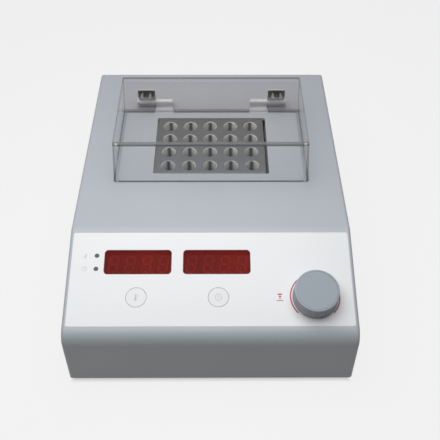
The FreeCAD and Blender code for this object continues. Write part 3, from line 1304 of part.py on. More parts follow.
def triac():
    """The power switch, flat against the sink's spine, on three legs."""
    back = POWER_Y + SINK_ROW - SINK_SPINE / 2
    base = POWER_TOP + TRIAC_LEG_HEIGHT
    body = box(SINK_X - TRIAC_WIDTH / 2, SINK_X + TRIAC_WIDTH / 2, back - TRIAC_THICKNESS, back,
               base, base + TRIAC_HEIGHT)
    legs = [centred_box(SINK_X + step * TRIAC_LEG_PITCH, back - TRIAC_THICKNESS / 2, TRIAC_LEG, TRIAC_LEG,
                        POWER_TOP, base) for step in (-1, 0, 1)]
    return join([body] + legs)


def terminal_block():
    """The screw terminals for mains and heater leads."""
    top = POWER_TOP + TERMINAL_HEIGHT
    row = POWER_Y + TERMINAL_ROW
    block = centred_box(0, row, TERMINAL_WAYS * TERMINAL_PITCH, TERMINAL_DEPTH, POWER_TOP, top)
    holes = [cylinder((i - (TERMINAL_WAYS - 1) / 2) * TERMINAL_PITCH, row, TERMINAL_HOLE_RADIUS,
                      top - TERMINAL_HOLE_DEPTH, HEIGHT) for i in range(TERMINAL_WAYS)]
    return block.cut(holes)


PARTS = {
    "top_housing": top_housing(),
    "chassis_pan": chassis_pan(),
    "rubber_feet": rubber_feet(),
    "case_screws": case_screws(),
    "panel_overlay": panel_overlay(),
    "display_window_left": display_window(DISPLAY_LEFT_X),
    "display_window_right": display_window(DISPLAY_RIGHT_X),
    "display_left": display_module(DISPLAY_LEFT_X),
    "display_right": display_module(DISPLAY_RIGHT_X),
    "display_segments": display_segments(),
    "status_lenses": status_lenses(),
    "status_leds": status_leds(),
    "control_board": control_board(),
    "board_screws": board_screws(),
    "key_left": key_button(KEY_LEFT_X),
    "key_right": key_button(KEY_RIGHT_X),
    "key_plunger_left": switch_plunger(KEY_LEFT_X),
    "key_plunger_right": switch_plunger(KEY_RIGHT_X),
    "key_switches": key_switches(),
    "encoder_body": encoder_body(),
    "encoder_nut": encoder_nut(),
    "encoder_shaft": encoder_shaft(),
    "push_plunger": push_plunger(),
    "control_knob": control_knob(),
    "knob_cap": knob_cap(),
    "knob_set_screw": knob_set_screw(),
    "well_frame": well_frame(),
    "heating_block": heating_block(),
    "heater_plate": heater_plate(),
    "temperature_sensor": temperature_sensor(),
    "heater_mat": heater_mat(),
    "insulation_pad": insulation_pad(),
    "thermal_cutout": thermal_cutout(),
    "clamp_plate": clamp_plate(),
    "stack_standoffs": stack_standoffs(),
    "stack_screws": stack_screws(),
    "lid_cover": lid_cover(),
    "hinge_foot_left": hinge_foot(-1),
    "hinge_foot_right": hinge_foot(1),
    "hinge_leaf_left": hinge_leaf(-1),
    "hinge_leaf_right": hinge_leaf(1),
    "hinge_pins": hinge_pins(),
    "hinge_foot_nuts": hinge_foot_nuts(),
    "leaf_screws": leaf_screws(),
    "mains_inlet": mains_inlet(),
    "inlet_blades": inlet_blades(),
    "fuse_drawer": fuse_drawer(),
    "fuses": fuses(),
    "switch_frame": switch_frame(),
    "rocker_button": rocker_button(),
    "switch_pivot": switch_pivot(),
    "power_board": power_board(),
    "power_standoffs": power_standoffs(),
    "power_screws": power_screws(),
    "board_transformer": board_transformer(),
    "power_capacitors": power_capacitors(),
    "heat_sink": heat_sink(),
    "triac": triac(),
    "terminal_block": terminal_block(),
}

os.makedirs("parts", exist_ok=True)
for name, shape in PARTS.items():
    if not shape.isValid():
        raise ValueError(name + " is not a valid shape")
    shape.exportStep("parts/" + name + ".step")
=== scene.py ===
"""The looks of a dry bath incubator: finishes, printed marks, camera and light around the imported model.

Lengths with MM are millimetres turned to metres. X is right, Y is to the rear and Z is up.
"""

import math

import bpy
from mathutils import Matrix, Vector


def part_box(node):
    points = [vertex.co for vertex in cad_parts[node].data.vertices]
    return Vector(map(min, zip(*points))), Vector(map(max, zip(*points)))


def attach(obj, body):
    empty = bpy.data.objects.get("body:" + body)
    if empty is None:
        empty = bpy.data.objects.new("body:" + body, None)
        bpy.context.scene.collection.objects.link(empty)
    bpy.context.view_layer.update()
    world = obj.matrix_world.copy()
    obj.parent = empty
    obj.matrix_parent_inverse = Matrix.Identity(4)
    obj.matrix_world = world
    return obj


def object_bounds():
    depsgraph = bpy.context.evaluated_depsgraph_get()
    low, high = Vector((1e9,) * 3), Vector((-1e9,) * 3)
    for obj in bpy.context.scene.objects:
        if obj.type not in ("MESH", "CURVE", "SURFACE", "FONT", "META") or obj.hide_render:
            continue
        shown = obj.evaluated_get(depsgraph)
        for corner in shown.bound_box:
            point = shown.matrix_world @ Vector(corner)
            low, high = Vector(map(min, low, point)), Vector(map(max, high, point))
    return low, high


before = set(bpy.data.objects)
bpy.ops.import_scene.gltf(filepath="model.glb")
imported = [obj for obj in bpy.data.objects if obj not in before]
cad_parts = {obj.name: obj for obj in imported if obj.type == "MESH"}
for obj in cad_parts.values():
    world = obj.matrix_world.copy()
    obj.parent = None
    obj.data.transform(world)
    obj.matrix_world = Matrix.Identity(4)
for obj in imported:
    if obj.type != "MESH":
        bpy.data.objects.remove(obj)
cad_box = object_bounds()

MM = 0.001

# Camera, fitted to the photograph: place in metres, angles in degrees, focal length in pixels
CAMERA_PLACE = Vector((4.2, -432.3, 465.1)) * MM
CAMERA_PITCH_DOWN = 45.38
CAMERA_YAW_RIGHT = 0.41
CAMERA_ROLL = 0.21
FOCAL_PIXELS = 712.2
IMAGE_PIXELS = 440
SENSOR_MM = 36.0

# Softbox over the object: its place, what it faces and its side in metres, and its power in watts
LAMP_PLACE = (-0.054, -0.055, 0.5)
LAMP_TARGET = (0, -0.02, 0.05)
LAMP_SIDE = 0.56
LAMP_POWER = 2.9

# Backdrop: the shade that the camera sees, and how strongly the world is mirrored and lights the object
BACKDROP_SHADE = "#F1F1F1"
WORLD_MIRRORED = 0.45
WORLD_FILL = 0.04

# Floor: half its side in metres, its shade for the light that it throws back, and the shares of the
# backdrop's shade that it glows with and that it takes shadows with
FLOOR_REACH = 6.0
FLOOR_BOUNCE_SHADE = "#C1BEB4"
FLOOR_GLOW = 0.955
FLOOR_LIT = 0.07

# Painted shadow in the gap under the housing: there the floor's glow falls to this share, this far in from
# the outline
GAP_PAINTED_SHADOW_GLOW = 0.05
GAP_SHADE = 9.0 * MM

# Clear lid: its wall, and how far the walls lean in between rim and roof
LID_WALL = 3.0 * MM
LID_DRAFT = 2.2 * MM

# Painted shade: grey lines where two faces of the lid meet and are seen end on. Each face with how far the
# line reaches from it in millimetres, and the line's strength. The wall is the nearer one of the front and
# the sides
LID_PAINTED_SHADE_LINES = (
    ("front", 3.4, "roof", 1.8, 1.0), ("rear", 2.8, "roof", 1.2, 0.9), ("side", 1.4, "roof", 1.4, 0.45),
    ("side", 2.0, "front", 1.3, 0.5), ("side", 1.2, "rear", 1.2, 0.4), ("wall", 1.2, "rim", 1.2, 0.9),
    ("rear", 4.2, "rim", 1.8, 0.45), ("side", 4.2, "rim", 1.2, 0.2))
LID_PAINTED_SHADE_STRENGTH = 0.8

# Painted highlight: a bright line beside each front corner of the lid. Where it starts and ends across the
# front, and how far it reaches behind the front, in millimetres
GLEAM_START = 2.2
GLEAM_END = 4.0
GLEAM_DEPTH = 1.3
GLEAM_STRENGTH = 0.8

# Share of a line's width at which it starts to fade, and at which it has gone
LINE_FADE = (0.8, 1.1)

# Strips of the lid with a faint warm tint, a painted shade on the view through the roof and the rear wall:
# the face each lies along, and its width in millimetres
PAINTED_SHADE_STRIPS = (("roof", 1.0), ("rear", 4.0))

# Share of the light that the lid mirrors when seen straight on, what a grazing view adds at most, and
# how steeply that falls away
LID_MIRROR = 0.014
LID_GRAZING = 0.4
LID_GRAZING_POWER = 5.0

# Heating block, by depth under its top: the end of the blasted skin on the wells' rims, and the fading of the
# painted light in the wells. The edges of the painted dark reflection streak are sideways shares of the
# wall's direction
SKIN_DEPTHS = (0.25 * MM, 0.45 * MM)
PAINTED_LIGHT_DEPTHS = (3.0 * MM, 12.0 * MM)
PAINTED_STREAK_EDGES = (0.1, 0.46)

# Half the length of a fuse's clear middle
FUSE_CLEAR_HALF = 4.8 * MM

# Printed marks, in millimetres and degrees
INK_THICKNESS = 0.04
ARC_RADIUS = 17.6
ARC_WIDTH = 0.9
ARC_SPANS = ((130, 224), (-44, 50))
PUSH_MARK_ACROSS = -25.2
STATUS_MARK_ACROSS = -8.6
STATUS_MARK_RISE = 5.2
STATUS_THERMOMETER_HEIGHT = 3.6
STATUS_CLOCK_RADIUS = 1.7
KEY_RING_RADIUS = 7.1
KEY_RING_WIDTH = 0.1
KEY_THERMOMETER_HEIGHT = 5.0
KEY_THERMOMETER_SHIFT = -0.3
KEY_CLOCK_RADIUS = 2.4
ROCKER_LINE = (0.7, 3.2)
ROCKER_RING_RADIUS = 1.6
ROCKER_RING_WIDTH = 0.6

# Where the rocker's two marks lie, as a share of its height above and below its middle
ROCKER_MARK_SHARE = 0.28

# How far behind the rocker its marks are laid out, before they drop on to its face
ROCKER_CLEARANCE = 10.0 * MM

# Least share of a direction that a face looks along to count as facing it
FACING_SHARE = 0.7

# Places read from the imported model
BLOCK_LOW, BLOCK_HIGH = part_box("heating_block")
LID_LOW, LID_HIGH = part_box("lid_cover")
FUSES_LOW, FUSES_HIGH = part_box("fuses")
LID_RIM_REAR = max(point.co.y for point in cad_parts["lid_cover"].data.vertices
                   if point.co.z < LID_LOW[2] + LID_WALL)


# Small tools for colours and nodes
def linear(text):
    """The linear colour of an sRGB hex value."""
    values = [int(text[i:i + 2], 16) / 255 for i in (1, 3, 5)]
    return tuple(v / 12.92 if v <= 0.04045 else ((v + 0.055) / 1.055) ** 2.4 for v in values) + (1.0,)


def dimmed(colour, share):
    """A colour brought down to a share of its strength."""
    return tuple(value * share for value in colour[:3]) + (1.0,)


def add(tree, kind, inputs=None, **settings):
    """Adds a node, makes its settings, and fills its inputs with values, sockets or other nodes."""
    made = tree.nodes.new("ShaderNode" + kind)
    for key, value in settings.items():
        setattr(made, key, value)
    for key, value in (inputs or {}).items():
        socket = made.inputs[key] if isinstance(key, int) else next(
            one for one in made.inputs if one.enabled and one.name == key)
        if isinstance(value, bpy.types.Node):
            value = next(one for one in value.outputs if one.enabled)
        if isinstance(value, bpy.types.NodeSocket):
            tree.links.new(value, socket)
        else:
            socket.default_value = value
    return made


def blank_material(name):
    """A material without nodes, and its node tree."""
    material = bpy.data.materials.new(name)
    material.use_nodes = True
    material.node_tree.nodes.clear()
    return material, material.node_tree


def own_place(tree):
    """A point's place in the piece's own coordinates, split into X, Y and Z."""
    return add(tree, "SeparateXYZ", {"Vector": add(tree, "TexCoord").outputs["Object"]})


def pattern(tree, size_mm, detail=2.0, stretch=(1.0, 1.0, 1.0), roughness=0.5):
    """Noise in the piece's own coordinates, whose features are about size_mm across."""
    scaled = add(tree, "Mapping", {"Vector": add(tree, "TexCoord").outputs["Object"], "Scale": stretch})
    return add(tree, "TexNoise", {"Vector": scaled, "Scale": 0.5 / (size_mm * MM), "Detail": detail,
                                  "Roughness": roughness})


def mottled(tree, noise, first, second, low=0.35, high=0.65):
    """A colour that goes from first to second as the noise goes from low to high."""
    share = add(tree, "MapRange", {"Value": noise, "From Min": low, "From Max": high})
    return add(tree, "Mix", {"Factor": share, "A": first, "B": second}, data_type="RGBA")


def largest(tree, values):
    """The largest of several values."""
    top = values[0]
    for value in values[1:]:
        top = add(tree, "Math", {0: top, 1: value}, operation="MAXIMUM")
    return top


def product(tree, values):
    """Several values multiplied together."""
    total = values[0]
    for value in values[1:]:
        total = add(tree, "Math", {0: total, 1: value}, operation="MULTIPLY")
    return total


# Plastics, rubber and printing
def moulded_plastic(name, shade, grain_mm, rough=0.42, grain_depth=0.02, tint=0.05):
    """Injection-moulded plastic: an even satin colour, with the eroded grain of its mould.

    The real grain, about 0.1 mm, is too fine to show, so it is drawn several times as coarse.
    """
    material, tree = blank_material(name)
    base = linear(shade)
    grain = pattern(tree, grain_mm, detail=3.0, roughness=0.6)
    body = add(tree, "BsdfPrincipled", {
        "Base Color": mottled(tree, pattern(tree, size_mm=60.0, detail=3.0), dimmed(base, 1 - tint), base),
        "Roughness": add(tree, "MapRange", {
            "Value": pattern(tree, size_mm=25.0, detail=4.0), "From Min": 0.3, "From Max": 0.7,
            "To Min": rough - 0.04, "To Max": rough + 0.05}),
        "IOR": 1.5, "Sheen Weight": 0.3, "Sheen Roughness": 0.35,
        "Normal": add(tree, "Bump", {"Height": grain, "Distance": grain_depth * MM})})
    add(tree, "OutputMaterial", {"Surface": body})
    return material


def moulded_rubber():
    """Moulded rubber: near black and dull, with a dusty bloom in its hollows."""
    material, tree = blank_material("moulded_rubber")
    bloom = add(tree, "MapRange", {"Value": pattern(tree, size_mm=3.0, detail=5.0),
                                   "From Min": 0.45, "From Max": 0.75, "To Max": 0.5})
    colour = add(tree, "Mix", {"Factor": bloom, "A": linear("#1B1B1B"), "B": linear("#3A3A3A")},
                 data_type="RGBA")
    grain = pattern(tree, size_mm=0.9, detail=4.0)
    body = add(tree, "BsdfPrincipled", {
        "Base Color": colour, "Roughness": 0.75, "IOR": 1.52,
        "Normal": add(tree, "Bump", {"Height": grain, "Distance": 0.05 * MM})})
    add(tree, "OutputMaterial", {"Surface": body})
    return material


def printed_film():
    """Polyester film, printed white on its back: an even pale face with a velvet texture.

    The real texture, about 0.05 mm, is too fine to show, so it is drawn at 0.6 mm.
    """
    material, tree = blank_material("printed_polyester_film")
    body = add(tree, "BsdfPrincipled", {
        "Base Color": mottled(tree, pattern(tree, size_mm=80.0), linear("#DEE0E2"), linear("#E2E4E6")),
        "Roughness": 0.45, "IOR": 1.57, "Coat Weight": 0.15, "Coat Roughness": 0.25,
        "Normal": add(tree, "Bump", {"Height": pattern(tree, size_mm=0.6), "Distance": 0.008 * MM})})
    add(tree, "OutputMaterial", {"Surface": body})
    return material


def printing_ink(name, shade):
    """Screen-printed ink on film: flat and matt, with the faint mottle of its mesh.

    The real mesh, about 0.1 mm, is too fine to show, so it is drawn at 0.8 mm.
    """
    material, tree = blank_material(name)
    base = linear(shade)
    pale = tuple(min(1.0, value * 1.12 + 0.01) for value in base[:3]) + (1.0,)
    screen = pattern(tree, size_mm=0.8)
    body = add(tree, "BsdfPrincipled", {
        "Base Color": mottled(tree, screen, base, pale, 0.4, 0.7), "Roughness": 0.5, "IOR": 1.5,
        "Normal": add(tree, "Bump", {"Height": screen, "Distance": 0.005 * MM})})
    add(tree, "OutputMaterial", {"Surface": body})
    return material


def tinted_acrylic(name, shade, alpha, rough=0.12, specular=0.5):
    """Tinted cast acrylic: a deep clear colour with a polished face, through which a little shows."""
    material, tree = blank_material(name)
    base = linear(shade)
    body = add(tree, "BsdfPrincipled", {
        "Base Color": mottled(tree, pattern(tree, size_mm=18.0), dimmed(base, 0.8), base),
        "Roughness": add(tree, "MapRange", {
            "Value": pattern(tree, size_mm=6.0, detail=3.0), "From Min": 0.3, "From Max": 0.7,
            "To Min": rough, "To Max": rough + 0.05}),
        "IOR": 1.49, "Specular IOR Level": specular, "Alpha": alpha})
    add(tree, "OutputMaterial", {"Surface": body})
    return material


# Clear lid
def near_edge(tree, distance, width_mm):
    """1 within width_mm of an edge, falling to 0 just past it."""
    start, end = (width_mm * share * MM for share in LINE_FADE)
    return add(tree, "MapRange", {"Value": distance, "From Min": start, "From Max": end,
                                  "To Min": 1.0, "To Max": 0.0})


def lid_gaps(tree):
    """How far a point of the lid lies inside its faces, by the names that LID_PAINTED_SHADE_LINES uses."""
    place = own_place(tree)
    rim = add(tree, "Math", {0: place.outputs["Z"], 1: LID_LOW[2]}, operation="SUBTRACT")
    roof = add(tree, "Math", {0: LID_HIGH[2], 1: place.outputs["Z"]}, operation="SUBTRACT")
    taper = add(tree, "Math", {0: rim, 1: LID_DRAFT / (LID_HIGH[2] - LID_LOW[2])}, operation="MULTIPLY")

    def inside(low, high, position):
        """The distances from two opposite walls, which lean inwards with the draft."""
        past_low = add(tree, "Math", {0: position, 1: low}, operation="SUBTRACT")
        before_high = add(tree, "Math", {0: high, 1: position}, operation="SUBTRACT")
        return [add(tree, "Math", {0: gap, 1: taper}, operation="SUBTRACT")
                for gap in (past_low, before_high)]

    left, right = inside(LID_LOW[0], LID_HIGH[0], place.outputs["X"])
    front, rear = inside(LID_LOW[1], LID_RIM_REAR, place.outputs["Y"])
    side = add(tree, "Math", {0: left, 1: right}, operation="MINIMUM")
    wall = add(tree, "Math", {0: front, 1: side}, operation="MINIMUM")
    return {"rim": rim, "roof": roof, "front": front, "rear": rear, "side": side, "wall": wall}


def painted_lid_shade_lines(tree, gaps):
    """How much painted grey shade a point of the lid gets, in lines where two of its faces are seen end on.
    """
    lines = [product(tree, [near_edge(tree, gaps[one], one_width), near_edge(tree, gaps[other], other_width),
                            strength])
             for one, one_width, other, other_width, strength in LID_PAINTED_SHADE_LINES]
    return product(tree, [largest(tree, lines), LID_PAINTED_SHADE_STRENGTH])


def painted_lid_highlight(tree, gaps):
    """How bright a point of the lid is, in the painted highlight beside a front corner."""
    beside = add(tree, "Math", {0: near_edge(tree, gaps["side"], GLEAM_END),
                                1: near_edge(tree, gaps["side"], GLEAM_START)}, operation="SUBTRACT")
    return product(tree, [beside, near_edge(tree, gaps["front"], GLEAM_DEPTH), GLEAM_STRENGTH])


def clear_acrylic():
    """Clear cast acrylic, 3 mm thick: colourless polished faces, with painted grey lines of shade where its
    walls meet, a painted highlight by each front corner, and faint painted shade in strips on roof and rear.
    """
    material, tree = blank_material("clear_cast_acrylic")
    gaps = lid_gaps(tree)
    painted_shade_strips = largest(tree, [near_edge(tree, gaps[face], width) for face, width in PAINTED_SHADE_STRIPS])
    # Painted shade: a warmer, slightly darker see-through colour in the strips
    tint = add(tree, "Mix", {"Factor": painted_shade_strips, "A": linear("#FEFEFE"), "B": linear("#FBF9F8")},
               data_type="RGBA")
    haze = add(tree, "MapRange", {"Value": pattern(tree, size_mm=14.0, detail=4.0), "From Min": 0.4,
                                  "From Max": 0.8, "To Min": 0.02, "To Max": 0.06})
    facing = add(tree, "LayerWeight", {"Blend": 0.5}).outputs["Facing"]
    steep = add(tree, "Math", {0: facing, 1: LID_GRAZING_POWER}, operation="POWER")
    mirror = add(tree, "Math", {0: product(tree, [steep, LID_GRAZING]), 1: LID_MIRROR}, operation="ADD")
    face = add(tree, "MixShader", {
        0: mirror, 1: add(tree, "BsdfTransparent", {"Color": tint}),
        2: add(tree, "BsdfGlossy", {"Color": linear("#F4F6F6"), "Roughness": haze})})
    # Painted shade: the grey of the lines where the lid's faces are seen end on
    with_painted_shade_lines = add(tree, "MixShader", {
        0: painted_lid_shade_lines(tree, gaps), 1: face, 2: add(tree, "BsdfDiffuse", {"Color": linear("#74777A")})})
    # Painted highlight: the pale colour of the line beside each front corner
    both = add(tree, "MixShader", {
        0: painted_lid_highlight(tree, gaps), 1: with_painted_shade_lines, 2: add(tree, "BsdfDiffuse", {"Color": linear("#DADCDC")})})
    add(tree, "OutputMaterial", {"Surface": both})
    return material


# Metals
def drawn_metal(name, shade, rough, line_mm=0.3, along="X", depth=0.01, metallic=1.0):
    """Rolled or brushed metal: lines along one way, which stretch its highlights.

    Real brush lines, about 0.05 mm apart, are too fine to show, so they are drawn coarser.
    """
    material, tree = blank_material(name)
    stretch = {"X": (0.03, 1.0, 1.0), "Y": (1.0, 0.03, 1.0)}[along]
    lines = pattern(tree, line_mm, detail=3.0, stretch=stretch)
    base = linear(shade)
    body = add(tree, "BsdfPrincipled", {
        "Base Color": mottled(tree, lines, dimmed(base, 0.82), base), "Metallic": metallic,
        "Roughness": add(tree, "MapRange", {"Value": lines, "From Min": 0.3, "From Max": 0.7,
                                            "To Min": rough - 0.05, "To Max": rough + 0.08}),
        "Normal": add(tree, "Bump", {"Height": lines, "Distance": depth * MM})})
    add(tree, "OutputMaterial", {"Surface": body})
    return material


def zinc_plated(name, shade, rough=0.38):
    """Zinc-plated steel: a grey with faint crystals, 4 mm across, that shine unevenly."""
    material, tree = blank_material(name)
    crystals = add(tree, "TexVoronoi", {"Vector": add(tree, "TexCoord").outputs["Object"],
                                        "Scale": 0.5 / (4.0 * MM)})
    tone = add(tree, "MapRange", {"Value": crystals, "From Max": 0.8})
    base = linear(shade)
    colour = add(tree, "Mix", {"Factor": tone, "A": dimmed(base, 0.86), "B": base}, data_type="RGBA")
    body = add(tree, "BsdfPrincipled", {
        "Base Color": colour, "Metallic": 1.0,
        "Roughness": add(tree, "MapRange", {"Value": tone, "To Min": rough, "To Max": rough + 0.1}),
        "Normal": add(tree, "Bump", {"Height": pattern(tree, size_mm=0.5), "Distance": 0.006 * MM})})
    add(tree, "OutputMaterial", {"Surface": body})
    return material


def block_deck(tree):
    """Grey blasted anodising on the block's top, paler towards its rear."""
    blast = pattern(tree, size_mm=0.7, detail=3.0)
    grit = add(tree, "MapRange", {"Value": blast, "From Min": 0.3, "From Max": 0.7})
    forward = add(tree, "MapRange", {"Value": own_place(tree).outputs["Y"], "From Min": BLOCK_LOW[1],
                                     "From Max": BLOCK_HIGH[1], "To Min": 1.0, "To Max": 0.0})
    # Grit, and a darkening towards the front
    grit_and_front_darkening = add(tree, "Math", {0: product(tree, [grit, 0.3]), 1: product(tree, [forward, 0.7])},
               operation="ADD")
    colour = add(tree, "Mix", {"Factor": grit_and_front_darkening, "A": linear("#8F9191"), "B": linear("#818388")},
                 data_type="RGBA")
    return add(tree, "BsdfPrincipled", {
        "Base Color": colour, "Metallic": 1.0, "Roughness": 0.42,
        "Normal": add(tree, "Bump", {"Height": blast, "Distance": 0.02 * MM})})


def painted_light_well_walls(tree):
    """Bare reamed walls: painted bright flanks, a painted dark reflection streak down the front and rear, and
    painted shade far down.
    """
    rings = pattern(tree, size_mm=0.5, stretch=(0.05, 0.05, 1.0))
    # Painted highlight: the bright flanks of the walls
    painted_bright_flanks = mottled(tree, rings, linear("#F0F1F0"), linear("#FAFAFA"), 0.3, 0.7)
    painted_light_share = add(tree, "MapRange", {
        "Value": own_place(tree).outputs["Z"], "From Min": BLOCK_HIGH[2] - PAINTED_LIGHT_DEPTHS[1],
        "From Max": BLOCK_HIGH[2] - PAINTED_LIGHT_DEPTHS[0]})
    # Painted shade: the walls grow dim further down
    painted_depth_shade = add(tree, "Mix", {"Factor": painted_light_share, "A": linear("#A3A5A4"), "B": painted_bright_flanks}, data_type="RGBA")
    direction = add(tree, "SeparateXYZ", {"Vector": add(tree, "NewGeometry").outputs["True Normal"]})
    sideways = add(tree, "Math", {0: direction.outputs["X"]}, operation="ABSOLUTE")
    painted_flank_share = add(tree, "MapRange", {"Value": sideways, "From Min": PAINTED_STREAK_EDGES[0],
                                   "From Max": PAINTED_STREAK_EDGES[1]})
    # Painted reflection: a dark streak down the front and rear of each well
    colour = add(tree, "Mix", {"Factor": painted_flank_share, "A": linear("#686B6A"), "B": painted_depth_shade}, data_type="RGBA")
    return add(tree, "BsdfPrincipled", {
        "Base Color": colour, "Metallic": 0.15, "Roughness": 0.4,
        "Normal": add(tree, "Bump", {"Height": rings, "Distance": 0.01 * MM})})


def block_aluminium():
    """Machined aluminium: grey blasted anodising on top, and bare reamed walls in the wells, with painted
    highlights, painted shade and a painted reflection streak.

    Grit and reaming rings, about 0.1 mm, are too fine to show, so they are drawn at 0.7 and 0.5 mm.
    """
    material, tree = blank_material("anodised_aluminium_block")
    top = add(tree, "MapRange", {
        "Value": own_place(tree).outputs["Z"], "From Min": BLOCK_HIGH[2] - SKIN_DEPTHS[1],
        "From Max": BLOCK_HIGH[2] - SKIN_DEPTHS[0]})
    both = add(tree, "MixShader", {0: top, 1: painted_light_well_walls(tree), 2: block_deck(tree)})
    add(tree, "OutputMaterial", {"Surface": both})
    return material


# Inner pieces
def glass_epoxy():
    """Glass-epoxy board: green solder mask over a woven cloth whose threads show faintly.

    Real threads, 0.6 mm apart, are too fine to show, so the weave repeats every 3.77 mm. At a scale
    of 1 a wave repeats every pi / 10.
    """
    material, tree = blank_material("glass_epoxy_board")
    mask = linear("#1C5A30")
    place = add(tree, "TexCoord").outputs["Object"]
    weave = {"Vector": place, "Scale": math.pi / 10 / (3.77 * MM)}
    along = add(tree, "TexWave", weave, wave_type="BANDS").outputs["Fac"]
    across = add(tree, "TexWave", weave, bands_direction="Y").outputs["Fac"]
    cloth = add(tree, "Mix", {"Factor": along, "A": linear("#0E2F1A"), "B": mask}, data_type="RGBA")
    cover = add(tree, "MapRange", {"Value": across, "To Min": 0.2, "To Max": 0.5})
    body = add(tree, "BsdfPrincipled", {
        "Base Color": add(tree, "Mix", {"Factor": cover, "A": cloth, "B": mask}, data_type="RGBA"),
        "Roughness": 0.3, "IOR": 1.55, "Coat Weight": 0.3})
    add(tree, "OutputMaterial", {"Surface": body})
    return material


def fibre_felt():
    """Glass-fibre felt: pale, matted and dull."""
    material, tree = blank_material("glass_fibre_felt")
    fibres = pattern(tree, size_mm=1.2, detail=6.0, stretch=(1.0, 0.3, 1.0), roughness=0.7)
    body = add(tree, "BsdfPrincipled", {
        "Base Color": mottled(tree, fibres, linear("#B9B19A"), linear("#E0DAC8"), 0.3, 0.7),
        "Roughness": 0.9, "IOR": 1.5,
        "Normal": add(tree, "Bump", {"Height": fibres, "Distance": 0.3 * MM})})
    add(tree, "OutputMaterial", {"Surface": body})
    return material


def fuse_glass():
    """Glass fuses with plated caps: the ends are tarnished metal and the middle is clear."""
    material, tree = blank_material("fuse_glass_and_caps")
    middle = (FUSES_LOW[0] + FUSES_HIGH[0]) / 2
    off = add(tree, "Math", {0: own_place(tree).outputs["X"], 1: middle}, operation="SUBTRACT")
    far = add(tree, "Math", {0: off}, operation="ABSOLUTE")
    cap = add(tree, "Math", {0: far, 1: FUSE_CLEAR_HALF}, operation="GREATER_THAN")
    tarnish = add(tree, "Mix", {"Factor": pattern(tree, size_mm=1.5, detail=3.0), "A": linear("#B9B8B2"),
                                "B": linear("#D6D5CF")}, data_type="RGBA")
    body = add(tree, "BsdfPrincipled", {
        "Base Color": add(tree, "Mix", {"Factor": cap, "A": linear("#DCE4E4"), "B": tarnish},
                          data_type="RGBA"),
        "Metallic": cap, "Roughness": 0.2, "IOR": 1.5,
        "Alpha": add(tree, "MapRange", {"Value": cap, "To Min": 0.45, "To Max": 1.0})})
    add(tree, "OutputMaterial", {"Surface": body})
    return material


